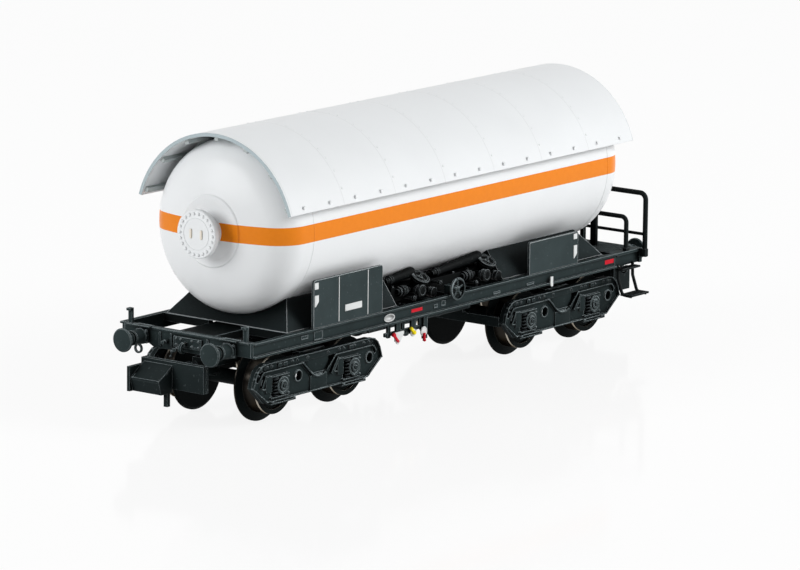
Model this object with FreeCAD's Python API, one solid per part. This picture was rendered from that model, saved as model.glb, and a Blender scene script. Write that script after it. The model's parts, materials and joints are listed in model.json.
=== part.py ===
import FreeCAD, Part
import math
import os

# Scale model, 1:160, of a four-axle pressure-gas tank wagon with a sun shield and an end platform.
# Millimetres. X runs along the wagon with the platform at +X, Y across it, Z up.
# The origin is on the floor, midway between the buffer faces, under the wheel flanges' lowest points.

V = FreeCAD.Vector
X_AXIS = V(1, 0, 0)
Y_AXIS = V(0, 1, 0)
Z_AXIS = V(0, 0, 1)

# ---- Wheelsets
tread_radius = 2.98
flange_depth = 0.9
wheel_width = 2.2
flange_width = 0.6
back_to_back = 7.4
rim_thickness = 0.5
web_recess = 0.45
hub_radius = 1.1
axle_radius = 0.75
journal_radius = 0.35
journal_clearance = 0.06
journal_end_play = 0.1

# ---- Bogies
wheelbase = 11.25
pivot_pitch = 40.8
wheel_to_end_beam = 0.195
side_bottom_step = 2.3
side_top_step = 1.1
side_bottom_z = 2.5
side_tip_z = 4.2
side_top_z = 6.4
side_plate = 0.55
side_gap = 0.2
chord_depth = 0.75
chord_proud = 0.3
side_hole_radius = 0.5
side_hole_z = 4.35
side_hole_from_axle = 2.65
recess_top_half = 2.4
recess_bottom_half = 1.3
recess_bottom_z = 4.5
axle_box_half = 0.95
axle_box_top_z = 5.3
axle_box_bottom_z = 2.7
axle_box_depth = 0.3
axle_cap_radius = 0.7
axle_cap_depth = 0.3
bolster_half = 1.35
bolster_bottom_z = 4.4
bolster_top_z = 6.4
centre_plate_radius = 1.6
centre_plate_top_z = 7.0
pivot_pin_radius = 0.9
pivot_clearance = 0.06
pivot_head_radius = 1.4
pivot_head_height = 0.5
seat_gap = 0.05
end_beam_inset = 0.1
end_beam_thickness = 0.4
end_beam_bottom_z = 3.8
end_beam_top_z = 4.8
tongue_half = 1.5
tongue_thickness = 0.6
tongue_reach = 9.2

# ---- Couplers
coupler_pivot_reach = 8.3
coupler_pin_radius = 0.35
coupler_clearance = 0.06
shank_half = 0.9
shank_height = 0.8
shank_top_z = 5.55
head_from_buffer_face = 1.55
head_half_width = 3.9
head_bottom_z = 3.97
head_top_z = 6.64
head_plate = 0.4
beak_overhang = 1.0
beak_ridge_z = 4.9
beak_bottom_z = 3.6
cheek_thickness = 0.35
cheek_top_z = 6.05
tail_width = 0.45
tail_bottom_z = 2.3

# ---- Underframe
headstock_span = 64.5
frame_width = 17.0
sole_bar_bottom_z = 7.7
sole_bar_height = 1.5
sole_bar_web = 0.3
sole_bar_lip = 0.3
sole_bar_lip_height = 0.2
headstock_thickness = 0.45
headstock_dip = 0.5
headstock_dip_half = 5.2
sill_half = 2.2
sill_bottom_z = 8.1
platform_length = 4.5
cross_member_width = 0.7
cross_member_height = 0.8

# ---- Tank
tank_radius = 8.65
tank_axis_z = 18.67
tank_centre_x = 0.45
tank_barrel = 47.8
dome_flange = 1.5
dome_depth = 4.15
dome_knuckle = 3.3
cover_radius = 2.41
cover_thickness = 0.55
cover_neck_radius = 1.95
cover_stand_off = 1.85
lug_radius = 0.14
lug_length = 0.85
lug_spacing = 1.3
lug_proud = 0.12

# ---- Sun shield
shield_radius = 9.95
shield_axis_z = 18.24
shield_thickness = 0.35
shield_start_deg = 17.0
shield_front_x = -28.25
shield_rear_x = 28.75
shield_stringers = 7
stringer_width = 0.45
stringer_depth = 0.4
bow_width = 0.5
bow_count = 5
bow_span = 48.0

# ---- Saddles and sign boards
saddle_inner_x = 8.85
saddle_outer_x = 26.3
saddle_half_width = 7.6
saddle_loft_z = 12.6
saddle_side_lean = 0.72
saddle_end_lean = 0.86
saddle_wall = 0.5
board_thickness = 0.25
board_bottom_z = 9.5
board_foot_width = 0.6
board_front = (-23.25, -12.3, 14.0)
board_rear = (12.25, 20.75, 12.6)

# ---- Buffers, hooks and lamp irons
buffer_length = 3.4
buffer_y = 5.46
buffer_z = 8.2
buffer_head_radius = 1.18
buffer_head_thickness = 0.4
buffer_stock_radius = 0.75
buffer_neck_radius = 0.5
buffer_base = 1.4
buffer_base_thickness = 0.3
hook_plate_width = 2.9
hook_plate_height = 1.1
hook_plate_z = 8.1
hook_reach = 0.7
lamp_iron_y = 7.2
lamp_iron_top_z = 10.7
lamp_iron_width = 0.5
lamp_iron_thickness = 0.25

# ---- Platform, railings and steps
deck_thickness = 0.3
end_rail_past_frame = 0.6
end_rail_top_z = 15.3
end_rail_foot_z = 8.35
end_rail_mid_z = 10.65
rail_bar = 0.6
mid_bar = 0.35
rail_corner = 0.7
inner_rail_from_headstock = 2.45
inner_rail_bar = 0.45
inner_rail_inside_frame = 0.15
inner_rail_inner_y = 3.65
inner_rail_post = 0.7
inner_rail_top_z = 13.0
brake_column_y = 2.6
brake_column_width = 0.45
brake_column_top_z = 11.3
step_from_headstock = (4.35, 1.15)
step_plate = 0.25
upper_step_z = 7.6
upper_step_past_frame = 0.4
lower_step_z = 4.95
lower_step_gap = 0.3
lower_step_past_frame = 1.8
strut_width = 0.45
strut_thickness = 0.3

# ---- Valves and brake controls between the saddles
manifold_half_length = 7.95
manifold_y = (3.5, 6.2)
manifold_top_z = 10.6
hood_radius = 1.0
hood_length = 1.9
hood_tilt_deg = 60.0
hood_y = 6.95
hood_z = 11.45
hood_x = (-4.1, 7.05)
pipe_places = ((-4.75, 10.1), (-2.85, 9.7), (6.05, 10.05), (8.0, 9.75))
pipe_end_y = 7.7
pipe_radius = 0.36
pipe_flange_radius = 0.48
pipe_flange_thickness = 0.22
handwheel_x = -0.45
handwheel_z = 9.8
handwheel_radius = 1.05
handwheel_rim = 0.13
handwheel_y = 8.85
lever_places = ((-9.3, 5.75), (-6.85, 6.3), (-4.85, 5.35))
lever_drop = 1.0
hanger_half = 0.3
cylinder_radius = 1.5
cylinder_length = 5.5
reservoir_radius = 1.6
reservoir_length = 7.0
tank_hanger_width = 0.8

# ---- Worked-out places
wheel_centre_z = tread_radius + flange_depth
flange_radius = tread_radius + flange_depth
wheel_back_y = back_to_back / 2
wheel_face_y = wheel_back_y + wheel_width
side_inner_y = wheel_face_y + side_gap
side_outer_y = side_inner_y + side_plate
box_outer_y = side_outer_y + axle_box_depth
journal_end_y = box_outer_y - journal_end_play
bearing_radius = journal_radius + journal_clearance
side_half_length = (wheelbase / 2 + flange_radius + wheel_to_end_beam + end_beam_thickness
                    + end_beam_inset)
side_bottom_half = side_half_length - side_bottom_step
side_top_half = side_half_length - side_top_step
headstock_face_x = headstock_span / 2
inner_rail_x = headstock_face_x - inner_rail_from_headstock
step_x = [headstock_face_x - inset for inset in step_from_headstock]
buffer_face_x = headstock_face_x + buffer_length
frame_half = frame_width / 2
web_outer_y = frame_half - sole_bar_lip
board_inner_y = web_outer_y
end_rail_outer_y = frame_half + end_rail_past_frame
inner_rail_outer_y = frame_half - inner_rail_inside_frame
upper_step_out = frame_half + upper_step_past_frame
lower_step_in = frame_half + lower_step_gap
lower_step_out = frame_half + lower_step_past_frame
web_inner_y = web_outer_y - sole_bar_web
frame_top_z = sole_bar_bottom_z + sole_bar_height
sole_bar_rear_x = headstock_face_x - platform_length
sill_top_z = frame_top_z - deck_thickness
crown_rise = dome_depth - dome_knuckle
dome_crown = ((tank_radius - dome_knuckle) ** 2 + dome_depth ** 2 - dome_knuckle ** 2) / (2 * crown_rise)
dome_base_x = tank_barrel / 2 + dome_flange
pivot_places = {"front": -pivot_pitch / 2, "rear": pivot_pitch / 2}
outward = {"front": -1, "rear": 1}


def write(name, *shapes):
    """Saves one node; several solids that don't touch share a compound."""
    solids = [solid for shape in shapes for solid in shape.Solids]
    shape = solids[0] if len(solids) == 1 else Part.makeCompound(solids)
    shape.exportStep(f"parts/{name}.step")


def block(x0, x1, y0, y1, z0, z1):
    """A box between two corners, given in any order."""
    low = V(min(x0, x1), min(y0, y1), min(z0, z1))
    return Part.makeBox(abs(x1 - x0), abs(y1 - y0), abs(z1 - z0), low)


def rod(radius, start, end):
    """A round bar from one point to another."""
    return Part.makeCylinder(radius, (end - start).Length, start, end - start)


def plate_xz(points, y0, y1):
    """A flat plate lying in XZ, with its outline given as x, z pairs."""
    low = min(y0, y1)
    wire = Part.makePolygon([V(x, low, z) for x, z in points + points[:1]])
    return Part.Face(wire).extrude(V(0, abs(y1 - y0), 0))


def plate_yz(points, x0, x1):
    """A flat plate lying in YZ, with its outline given as y, z pairs."""
    low = min(x0, x1)
    wire = Part.makePolygon([V(low, y, z) for y, z in points + points[:1]])
    return Part.Face(wire).extrude(V(abs(x1 - x0), 0, 0))


def turned(points, axis, centre):
    """A turned part: points are distance along the axis and radius, measured from centre."""
    radial = Z_AXIS if abs(axis.z) < 0.9 else X_AXIS
    corners = [centre + axis * along + radial * radius for along, radius in points]
    wire = Part.makePolygon(corners + corners[:1])
    return Part.Face(wire).revolve(centre, axis, 360)


def half_turn(shape):
    """The same piece on the opposite corner: turned half round the vertical axis."""
    copy = shape.copy()
    copy.rotate(V(0, 0, 0), Z_AXIS, 180)
    return copy


def mirrored_y(shape):
    return shape.mirror(V(0, 0, 0), Y_AXIS)


def fused(first, *others):
    return first.fuse(list(others)).removeSplitter()


# ---------------------------------------------------------------- tank and sun shield


def crown_drop(radius):
    """How far the dome's crown has fallen back from its pole at a distance from the axis."""
    return dome_crown - math.sqrt(dome_crown ** 2 - radius ** 2)


def tank_body():
    """A straight barrel with a dished dome at each end, as one solid."""
    left = V(tank_centre_x - dome_base_x, 0, tank_axis_z)
    right = V(tank_centre_x + dome_base_x, 0, tank_axis_z)
    barrel = rod(tank_radius, left, right)
    rim = right + Z_AXIS * tank_radius
    pole = right + X_AXIS * dome_depth
    knuckle_centre = rim - Z_AXIS * dome_knuckle
    crown_centre = pole - X_AXIS * dome_crown
    seam_way = (knuckle_centre - crown_centre).normalize()
    seam = crown_centre + seam_way * dome_crown
    knuckle_way = (Z_AXIS + seam_way).normalize()
    crown_way = (X_AXIS + seam_way).normalize()
    edges = [
        Part.Arc(rim, knuckle_centre + knuckle_way * dome_knuckle, seam).toShape(),
        Part.Arc(seam, crown_centre + crown_way * dome_crown, pole).toShape(),
        Part.LineSegment(pole, right).toShape(),
        Part.LineSegment(right, rim).toShape(),
    ]
    dome = Part.Face(Part.Wire(edges)).revolve(right, X_AXIS, 360)
    return barrel.fuse([dome, dome.mirror(V(tank_centre_x, 0, 0), X_AXIS)])


def manhole_cover():
    """A flanged cover standing on the front dome's pole, with two lugs on its face."""
    pole_x = tank_centre_x - dome_base_x - dome_depth
    face_x = pole_x - cover_stand_off
    centre = V(pole_x, 0, tank_axis_z)
    neck_x = pole_x + crown_drop(cover_neck_radius)
    points = [(neck_x, cover_neck_radius), (face_x + cover_thickness, cover_neck_radius)]
    points += [(face_x + cover_thickness, cover_radius), (face_x, cover_radius)]
    points += [(face_x, 0), (pole_x, 0)]
    corners = [V(x, 0, tank_axis_z + radius) for x, radius in points]
    edges = [Part.LineSegment(*pair).toShape() for pair in zip(corners, corners[1:])]
    half_neck = cover_neck_radius / 2
    middle = V(pole_x + crown_drop(half_neck), 0, tank_axis_z + half_neck)
    edges.append(Part.Arc(corners[-1], middle, corners[0]).toShape())
    cover = Part.Face(Part.Wire(edges)).revolve(centre, X_AXIS, 360)
    lugs = []
    for side in (-1, 1):
        y = side * lug_spacing / 2
        low = V(face_x - lug_proud, y, tank_axis_z - lug_length / 2 + lug_radius)
        high = V(face_x - lug_proud, y, tank_axis_z + lug_length / 2 - lug_radius)
        for end in (low, high):
            lugs.append(rod(lug_radius, end, end + X_AXIS * lug_proud))
        lugs.append(block(low.x, face_x, y - lug_radius, y + lug_radius, low.z, high.z))
    return fused(cover, *lugs)


def shield_sector(inner, outer, x0, x1, start_deg):
    """A length of the shield's own circle between two radii, open below."""

    def at(radius, degrees):
        angle = math.radians(degrees)
        return V(x0, radius * math.cos(angle), shield_axis_z + radius * math.sin(angle))

    end_deg = 180 - start_deg
    edges = []
    for radius in (inner, outer):
        edges.append(Part.Arc(at(radius, start_deg), at(radius, 90), at(radius, end_deg)).toShape())
    for degrees in (start_deg, end_deg):
        edges.append(Part.LineSegment(at(inner, degrees), at(outer, degrees)).toShape())
    wire = Part.Wire(Part.__sortEdges__(edges))
    return Part.Face(wire).extrude(V(x1 - x0, 0, 0))


def sun_shield():
    inner = shield_radius - shield_thickness
    return shield_sector(inner, shield_radius, shield_front_x, shield_rear_x, shield_start_deg)


def shield_frame(tank):
    """Bows standing on the tank, joined by stringers that run along under the shield."""
    inner = shield_radius - shield_thickness
    low = tank_radius * 0.9
    pieces = []
    for index in range(bow_count):
        x = tank_centre_x + bow_span * (index / (bow_count - 1) - 0.5)
        bow = shield_sector(low, inner, x - bow_width / 2, x + bow_width / 2, shield_start_deg + 1.5)
        pieces.append(bow.cut(tank))
    sheet = shield_sector(inner - stringer_depth, inner, shield_front_x + 0.3, shield_rear_x - 0.3,
                          shield_start_deg)
    step = (180 - 2 * shield_start_deg - 8) / (shield_stringers - 1)
    for index in range(shield_stringers):
        angle = math.radians(shield_start_deg + 4 + step * index)
        bar = Part.makeBox(shield_rear_x - shield_front_x, stringer_width, 2 * shield_thickness + 2,
                           V(shield_front_x, -stringer_width / 2, inner - stringer_depth - 1))
        bar.rotate(V(0, 0, 0), X_AXIS, math.degrees(angle) - 90)
        bar.translate(V(0, 0, shield_axis_z))
        pieces.append(sheet.common(bar))
    return fused(pieces[0], *pieces[1:])


# ---------------------------------------------------------------- underframe


def sole_bar():
    """A channel with its lips outwards, on the near side."""
    x0 = -headstock_face_x
    x1 = sole_bar_rear_x
    web = block(x0, x1, -web_outer_y, -web_inner_y, sole_bar_bottom_z, frame_top_z)
    lips = []
    for z in (sole_bar_bottom_z, frame_top_z - sole_bar_lip_height):
        lips.append(block(x0, x1, -frame_half, -web_inner_y, z, z + sole_bar_lip_height))
    return fused(web, *lips)


def headstock(side):
    """The end beam across the frame, deeper in the middle; the rear one stops under the deck."""
    low = sole_bar_bottom_z
    top = frame_top_z if side < 0 else sill_top_z
    half = web_inner_y if side < 0 else frame_half
    dip = headstock_dip_half
    points = [(-half, top), (-half, low), (-dip, low), (-dip + 1, low - headstock_dip)]
    points += [(dip - 1, low - headstock_dip), (dip, low), (half, low), (half, top)]
    return plate_yz(points, side * headstock_face_x, side * (headstock_face_x - headstock_thickness))


def centre_sill():
    """The box sill down the middle, from headstock to headstock."""
    reach = headstock_face_x - headstock_thickness
    return block(-reach, reach, -sill_half, sill_half, sill_bottom_z, sill_top_z)


def cross_members():
    """Short beams on each side of the sill, reaching the sole bars' webs."""
    inset = cross_member_width / 2
    places = [*pivot_places.values(), -manifold_half_length / 2, 0, manifold_half_length / 2]
    for x in (saddle_inner_x + inset, saddle_outer_x - inset):
        places += [-x, x]
    beams = []
    for x in places:
        for side in (-1, 1):
            beams.append(block(x - inset, x + inset, side * sill_half, side * web_inner_y,
                               frame_top_z - cross_member_height, frame_top_z))
    return beams


def pivot_pin(x):
    """The pin a bogie turns on: a boss under the sill, a shank and a head below the bolster."""
    boss_bottom = centre_plate_top_z + seat_gap
    head_top = bolster_bottom_z - seat_gap
    head_bottom = head_top - pivot_head_height
    points = [(head_bottom, 0), (head_bottom, pivot_head_radius), (head_top, pivot_head_radius)]
    points += [(head_top, pivot_pin_radius), (boss_bottom, pivot_pin_radius)]
    points += [(boss_bottom, centre_plate_radius), (sill_bottom_z, centre_plate_radius)]
    points += [(sill_bottom_z, 0)]
    return turned(points, Z_AXIS, V(x, 0, 0))


def hipped(inner_x, outer_x, half_width, low_z, high_z):
    """A block upright at its inner end, leaning in at the sides and at its outer end."""
    rise = high_z - low_z
    rings = []
    for x, y, z in ((outer_x, half_width, low_z), (outer_x - saddle_end_lean * rise,
                                                   half_width - saddle_side_lean * rise, high_z)):
        corners = [V(inner_x, -y, z), V(x, -y, z), V(x, y, z), V(inner_x, y, z)]
        rings.append(Part.makePolygon(corners + corners[:1]))
    return Part.makeLoft(rings, True, True)


def saddle(side, tank):
    """A hipped sheet box standing on the frame, open below, its top edges cut to the tank."""
    wall = saddle_wall
    outer = hipped(saddle_inner_x, saddle_outer_x, saddle_half_width, frame_top_z, saddle_loft_z)
    hollow = hipped(saddle_inner_x + wall, saddle_outer_x - wall, saddle_half_width - wall,
                    frame_top_z, saddle_loft_z)
    box = outer.cut(hollow)
    return (box if side > 0 else half_turn(box)).cut(tank)


def sign_board(x0, x1, top_z):
    """A blank board standing on two feet on the sole bar's upper lip, on the near side."""
    inner = -board_inner_y
    outer = inner - board_thickness
    pieces = [block(x0, x1, outer, inner, board_bottom_z, top_z)]
    for x in (x0 + board_foot_width, x1 - 2 * board_foot_width):
        pieces.append(block(x, x + board_foot_width, outer, inner, frame_top_z, board_bottom_z))
    return fused(*pieces)


# ---------------------------------------------------------------- ends


def buffer(side, y):
    """A square base, a tapered stock and a round head, as one moulding."""
    base_x = side * headstock_face_x
    base = block(base_x, base_x + side * buffer_base_thickness,
                 y - buffer_base / 2, y + buffer_base / 2,
                 buffer_z - buffer_base / 2, buffer_z + buffer_base / 2)
    head_start = buffer_length - buffer_head_thickness
    rim = buffer_head_thickness / 4
    points = [(0, 0), (0, buffer_stock_radius), (head_start * 0.6, buffer_stock_radius * 0.9)]
    points += [(head_start * 0.6, buffer_neck_radius), (head_start, buffer_neck_radius)]
    points += [(head_start, buffer_head_radius - rim), (head_start + rim, buffer_head_radius)]
    points += [(buffer_length - rim, buffer_head_radius), (buffer_length, buffer_head_radius * 0.8)]
    points += [(buffer_length, 0)]
    stock = turned(points, X_AXIS * side, V(base_x, y, buffer_z))
    return fused(base, stock)


def draw_hook(side):
    """A plate on the headstock with a short hook."""
    face = side * headstock_face_x
    plate_face = face + side * buffer_base_thickness
    plate = block(face, plate_face, -hook_plate_width / 2, hook_plate_width / 2,
                  hook_plate_z - hook_plate_height / 2, hook_plate_z + hook_plate_height / 2)
    tip = plate_face + side * hook_reach
    shank = block(plate_face, tip, -0.15, 0.15, hook_plate_z - 0.2, hook_plate_z + 0.1)
    nose = block(tip - side * 0.25, tip, -0.15, 0.15, hook_plate_z + 0.1, hook_plate_z + 0.4)
    return fused(plate, shank, nose)


def lamp_iron(y):
    """An upright strip on the front headstock with its top bent forward."""
    x0 = -headstock_face_x
    x1 = x0 + lamp_iron_thickness
    half = lamp_iron_width / 2
    post = block(x0, x1, y - half, y + half, frame_top_z, lamp_iron_top_z)
    lip_z = lamp_iron_top_z - lamp_iron_thickness
    lip = block(x0 - 0.3, x0, y - half, y + half, lip_z, lamp_iron_top_z)
    return fused(post, lip)


def platform_deck():
    """The deck over the rear overhang, level with the sole bars, with an apron down each side."""
    deck = block(sole_bar_rear_x, headstock_face_x, -frame_half, frame_half, sill_top_z, frame_top_z)
    aprons = []
    for side in (-1, 1):
        aprons.append(block(sole_bar_rear_x, headstock_face_x - headstock_thickness,
                            side * web_inner_y, side * web_outer_y, sole_bar_bottom_z, sill_top_z))
    return fused(deck, *aprons)


def end_railing():
    """The tall railing across the rear end: two posts beside the deck, a top and a middle bar."""
    x1 = headstock_face_x
    x0 = x1 - rail_bar
    outer = end_rail_outer_y
    top = end_rail_top_z
    corner = rail_corner
    hoop = [(-outer, end_rail_foot_z), (-outer, top - corner), (-outer + corner, top)]
    hoop += [(outer - corner, top), (outer, top - corner), (outer, end_rail_foot_z)]
    inner = outer - rail_bar
    hoop += [(inner, end_rail_foot_z), (inner, top - corner), (inner - corner / 2, top - rail_bar)]
    hoop += [(-inner + corner / 2, top - rail_bar), (-inner, top - corner)]
    hoop += [(-inner, end_rail_foot_z)]
    middle = block(x1 - mid_bar, x1, -inner, inner, end_rail_mid_z - mid_bar / 2,
                   end_rail_mid_z + mid_bar / 2)
    return fused(plate_yz(hoop, x0, x1), middle)


def inner_railing():
    """A low hoop beside the passage, on the near side, with a wide inner post."""
    x0 = inner_rail_x - inner_rail_bar / 2
    outer = inner_rail_outer_y
    inner = inner_rail_inner_y
    top = inner_rail_top_z
    low = frame_top_z
    corner = rail_corner / 2
    bar = inner_rail_bar
    wide = inner + inner_rail_post
    hoop = [(-outer, low), (-outer, top - corner), (-outer + corner, top), (-inner, top)]
    hoop += [(-inner, low), (-wide, low), (-wide, top - bar), (-outer + bar, top - bar)]
    hoop += [(-outer + bar, low)]
    return plate_yz(hoop, x0, x0 + inner_rail_bar)


def brake_column():
    """A square column standing on the deck beside the railing."""
    half = brake_column_width / 2
    return block(inner_rail_x - half, inner_rail_x + half, -brake_column_y - half,
                 -brake_column_y + half, frame_top_z, brake_column_top_z)


def steps():
    """Two treads on a pair of leaning struts from the deck's apron, on the near side."""
    x0, x1 = step_x
    top = -web_outer_y
    low = -lower_step_in
    points = [(top, sill_top_z), (top, sole_bar_bottom_z), (low, lower_step_z - step_plate)]
    points += [(low - strut_thickness, lower_step_z - step_plate)]
    points += [(top - strut_thickness, sole_bar_bottom_z), (top - strut_thickness, sill_top_z)]
    struts = [plate_yz(points, x, x + strut_width) for x in (x0, x1 - strut_width)]
    upper = block(x0, x1, -upper_step_out, top - strut_thickness, upper_step_z - step_plate,
                  upper_step_z)
    lower = block(x0, x1, -lower_step_out, low, lower_step_z - step_plate, lower_step_z)
    return fused(struts[0], struts[1], upper, lower)


# ---------------------------------------------------------------- fittings between the saddles


def manifold():
    """The block that carries the valves, on the near side."""
    inner, outer = manifold_y
    return block(-manifold_half_length, manifold_half_length, -outer, -inner,
                 frame_top_z, manifold_top_z)


def valve_hood(x, carriers):
    """A drum leaning out from the manifold, cut to sit on it and on the pipes below."""
    tilt = math.radians(hood_tilt_deg)
    axis = V(0, -math.cos(tilt), math.sin(tilt))
    face = V(x, -hood_y, hood_z)
    drum = rod(hood_radius, face - axis * hood_length, face)
    return drum.cut(carriers)


def valve_pipe(x, z):
    """A short pipe with two flanges, pointing outwards from the manifold."""
    start = -manifold_y[1]
    length = pipe_end_y - manifold_y[1]
    edge = pipe_flange_thickness
    mid = length / 2
    points = [(0, 0), (0, pipe_radius), (mid, pipe_radius), (mid, pipe_flange_radius)]
    points += [(mid + edge, pipe_flange_radius), (mid + edge, pipe_radius)]
    points += [(length - edge, pipe_radius), (length - edge, pipe_flange_radius)]
    points += [(length, pipe_flange_radius), (length, 0)]
    return turned(points, Y_AXIS * -1, V(x, start, z))


def handwheel():
    """The brake handwheel on its shaft, with the block that carries it on the sole bar."""
    centre = V(handwheel_x, -handwheel_y, handwheel_z)
    rim = Part.makeTorus(handwheel_radius, handwheel_rim, centre, Y_AXIS)
    carrier = block(handwheel_x - 0.45, handwheel_x + 0.45, -web_outer_y, -web_outer_y + 0.8,
                    frame_top_z, handwheel_z + 0.35)
    shaft = rod(0.2, centre - Y_AXIS * 0.1, V(handwheel_x, -web_outer_y, handwheel_z))
    spokes = []
    for across in (X_AXIS, Z_AXIS):
        spokes.append(rod(handwheel_rim * 0.8, centre - across * handwheel_radius,
                          centre + across * handwheel_radius))
    return fused(rim, carrier, shaft, *spokes)


def lever_hanger(x, low_z):
    """A strap hung from the sole bar's web."""
    return block(x - hanger_half, x + hanger_half, -web_outer_y, -web_inner_y,
                 low_z, sole_bar_bottom_z)


def lever_disc(x, low_z):
    """A round plate on the hanger's face."""
    z = low_z + lever_drop / 2
    return rod(0.45, V(x, -web_outer_y, z), V(x, -web_outer_y - 0.15, z))


def lever_arm(x, low_z):
    """The handle over the disc, hanging down."""
    return block(x - 0.14, x + 0.14, -web_outer_y - 0.3, -web_outer_y - 0.15,
                 low_z - 0.2, low_z + lever_drop / 2)


def hung_vessel(radius, length, x, y):
    """A round vessel along the wagon, with two straps up to the sill."""
    z = sill_bottom_z - radius - 0.3
    vessel = rod(radius, V(x - length / 2, y, z), V(x + length / 2, y, z))
    straps = []
    for side in (-1, 1):
        sx = x + side * (length / 2 - tank_hanger_width)
        straps.append(block(sx - tank_hanger_width / 2, sx + tank_hanger_width / 2,
                            y - 0.5, y + 0.5, z, sill_bottom_z))
    return fused(vessel, *straps)


# ---------------------------------------------------------------- bogies


def wheel(x, side):
    """One wheel with its flange inside, bored for the axle."""
    tread_start = flange_width
    web_radius = tread_radius - rim_thickness
    face = wheel_width - web_recess
    points = [(0, axle_radius), (0, flange_radius - 0.25), (0.2, flange_radius)]
    points += [(tread_start - 0.25, flange_radius), (tread_start, tread_radius)]
    points += [(wheel_width, tread_radius - 0.03), (wheel_width, web_radius)]
    points += [(face, web_radius), (face, hub_radius), (wheel_width, hub_radius)]
    points += [(wheel_width, axle_radius)]
    return turned(points, Y_AXIS * side, V(x, side * wheel_back_y, wheel_centre_z))


def axle(x):
    """The axle with a thin journal at each end."""
    points = [(-journal_end_y, 0), (-journal_end_y, journal_radius), (-wheel_face_y, journal_radius)]
    points += [(-wheel_face_y, axle_radius), (wheel_face_y, axle_radius)]
    points += [(wheel_face_y, journal_radius), (journal_end_y, journal_radius), (journal_end_y, 0)]
    return turned(points, Y_AXIS, V(x, 0, wheel_centre_z))


def bearing_bores(x):
    """What is cut from the side frames and axle boxes for the journals."""
    cuts = []
    for dx in (-wheelbase / 2, wheelbase / 2):
        cuts.append(rod(bearing_radius, V(x + dx, -box_outer_y, wheel_centre_z),
                        V(x + dx, box_outer_y, wheel_centre_z)))
    return cuts


def side_frame(x):
    """A pressed side frame with lightening holes and a recess for the bolster's end."""
    half = [(side_bottom_half, side_bottom_z), (side_half_length, side_tip_z)]
    half += [(side_top_half, side_top_z)]
    points = half + [(-px, pz) for px, pz in reversed(half)]
    plate = plate_xz([(x + px, pz) for px, pz in points], -side_outer_y, -side_inner_y)
    chord_z = side_top_z - chord_depth
    chord = block(x - side_top_half, x + side_top_half, -side_outer_y - chord_proud,
                  -side_outer_y, chord_z, side_top_z)
    cuts = bearing_bores(x)
    recess = [(-recess_top_half, chord_z), (recess_top_half, chord_z)]
    recess += [(recess_bottom_half, recess_bottom_z), (-recess_bottom_half, recess_bottom_z)]
    cuts.append(plate_xz([(x + px, pz) for px, pz in recess], -side_outer_y, -side_inner_y))
    for axle_dx in (-wheelbase / 2, wheelbase / 2):
        for side in (-1, 1):
            hole_x = x + axle_dx + side * side_hole_from_axle
            cuts.append(rod(side_hole_radius, V(hole_x, -side_outer_y, side_hole_z),
                            V(hole_x, -side_inner_y, side_hole_z)))
    return fused(plate, chord).cut(Part.makeCompound(cuts))


def axle_box(x, side):
    """The box on the side frame's face over one journal, with a round cap."""
    outer = box_outer_y
    shell = block(x - axle_box_half, x + axle_box_half, -outer, -side_outer_y,
                  axle_box_bottom_z, axle_box_top_z)
    bore = rod(bearing_radius, V(x, -outer, wheel_centre_z), V(x, -side_outer_y, wheel_centre_z))
    cap = turned([(0, 0), (0, axle_cap_radius), (axle_cap_depth / 2, axle_cap_radius),
                  (axle_cap_depth / 2, axle_cap_radius * 0.7), (axle_cap_depth, axle_cap_radius * 0.7),
                  (axle_cap_depth, 0)], Y_AXIS * -1, V(x, -outer, wheel_centre_z))
    box = fused(shell.cut(bore), cap)
    return box if side < 0 else mirrored_y(box)


def bogie_frame(end):
    """Bolster, centre plate, inner end beam and the tongue that carries the coupler."""
    x = pivot_places[end]
    out = outward[end]
    bolster = block(x - bolster_half, x + bolster_half, -side_inner_y, side_inner_y,
                    bolster_bottom_z, bolster_top_z)
    centre_plate = Part.makeCylinder(centre_plate_radius, centre_plate_top_z - bolster_top_z,
                                     V(x, 0, bolster_top_z))
    beam_x = x - out * (side_half_length - end_beam_inset)
    beam = block(beam_x, beam_x + out * end_beam_thickness, -side_inner_y, side_inner_y,
                 end_beam_bottom_z, end_beam_top_z)
    tongue_low = shank_top_z + seat_gap
    tongue = block(beam_x + out * end_beam_thickness, x + out * tongue_reach,
                   -tongue_half, tongue_half, tongue_low, tongue_low + tongue_thickness)
    riser = block(beam_x, beam_x + out * end_beam_thickness, -tongue_half, tongue_half,
                  end_beam_bottom_z, tongue_low + tongue_thickness)
    pin_x = x + out * coupler_pivot_reach
    pin_low = shank_top_z - shank_height - seat_gap
    pin = rod(coupler_pin_radius, V(pin_x, 0, pin_low), V(pin_x, 0, tongue_low))
    head = rod(coupler_pin_radius * 1.8, V(pin_x, 0, pin_low - 0.25), V(pin_x, 0, pin_low))
    body = fused(bolster, centre_plate, beam, tongue, riser, pin, head)
    bore = Part.makeCylinder(pivot_pin_radius + pivot_clearance, centre_plate_top_z,
                             V(x, 0, 0))
    return body.cut(bore)


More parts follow.
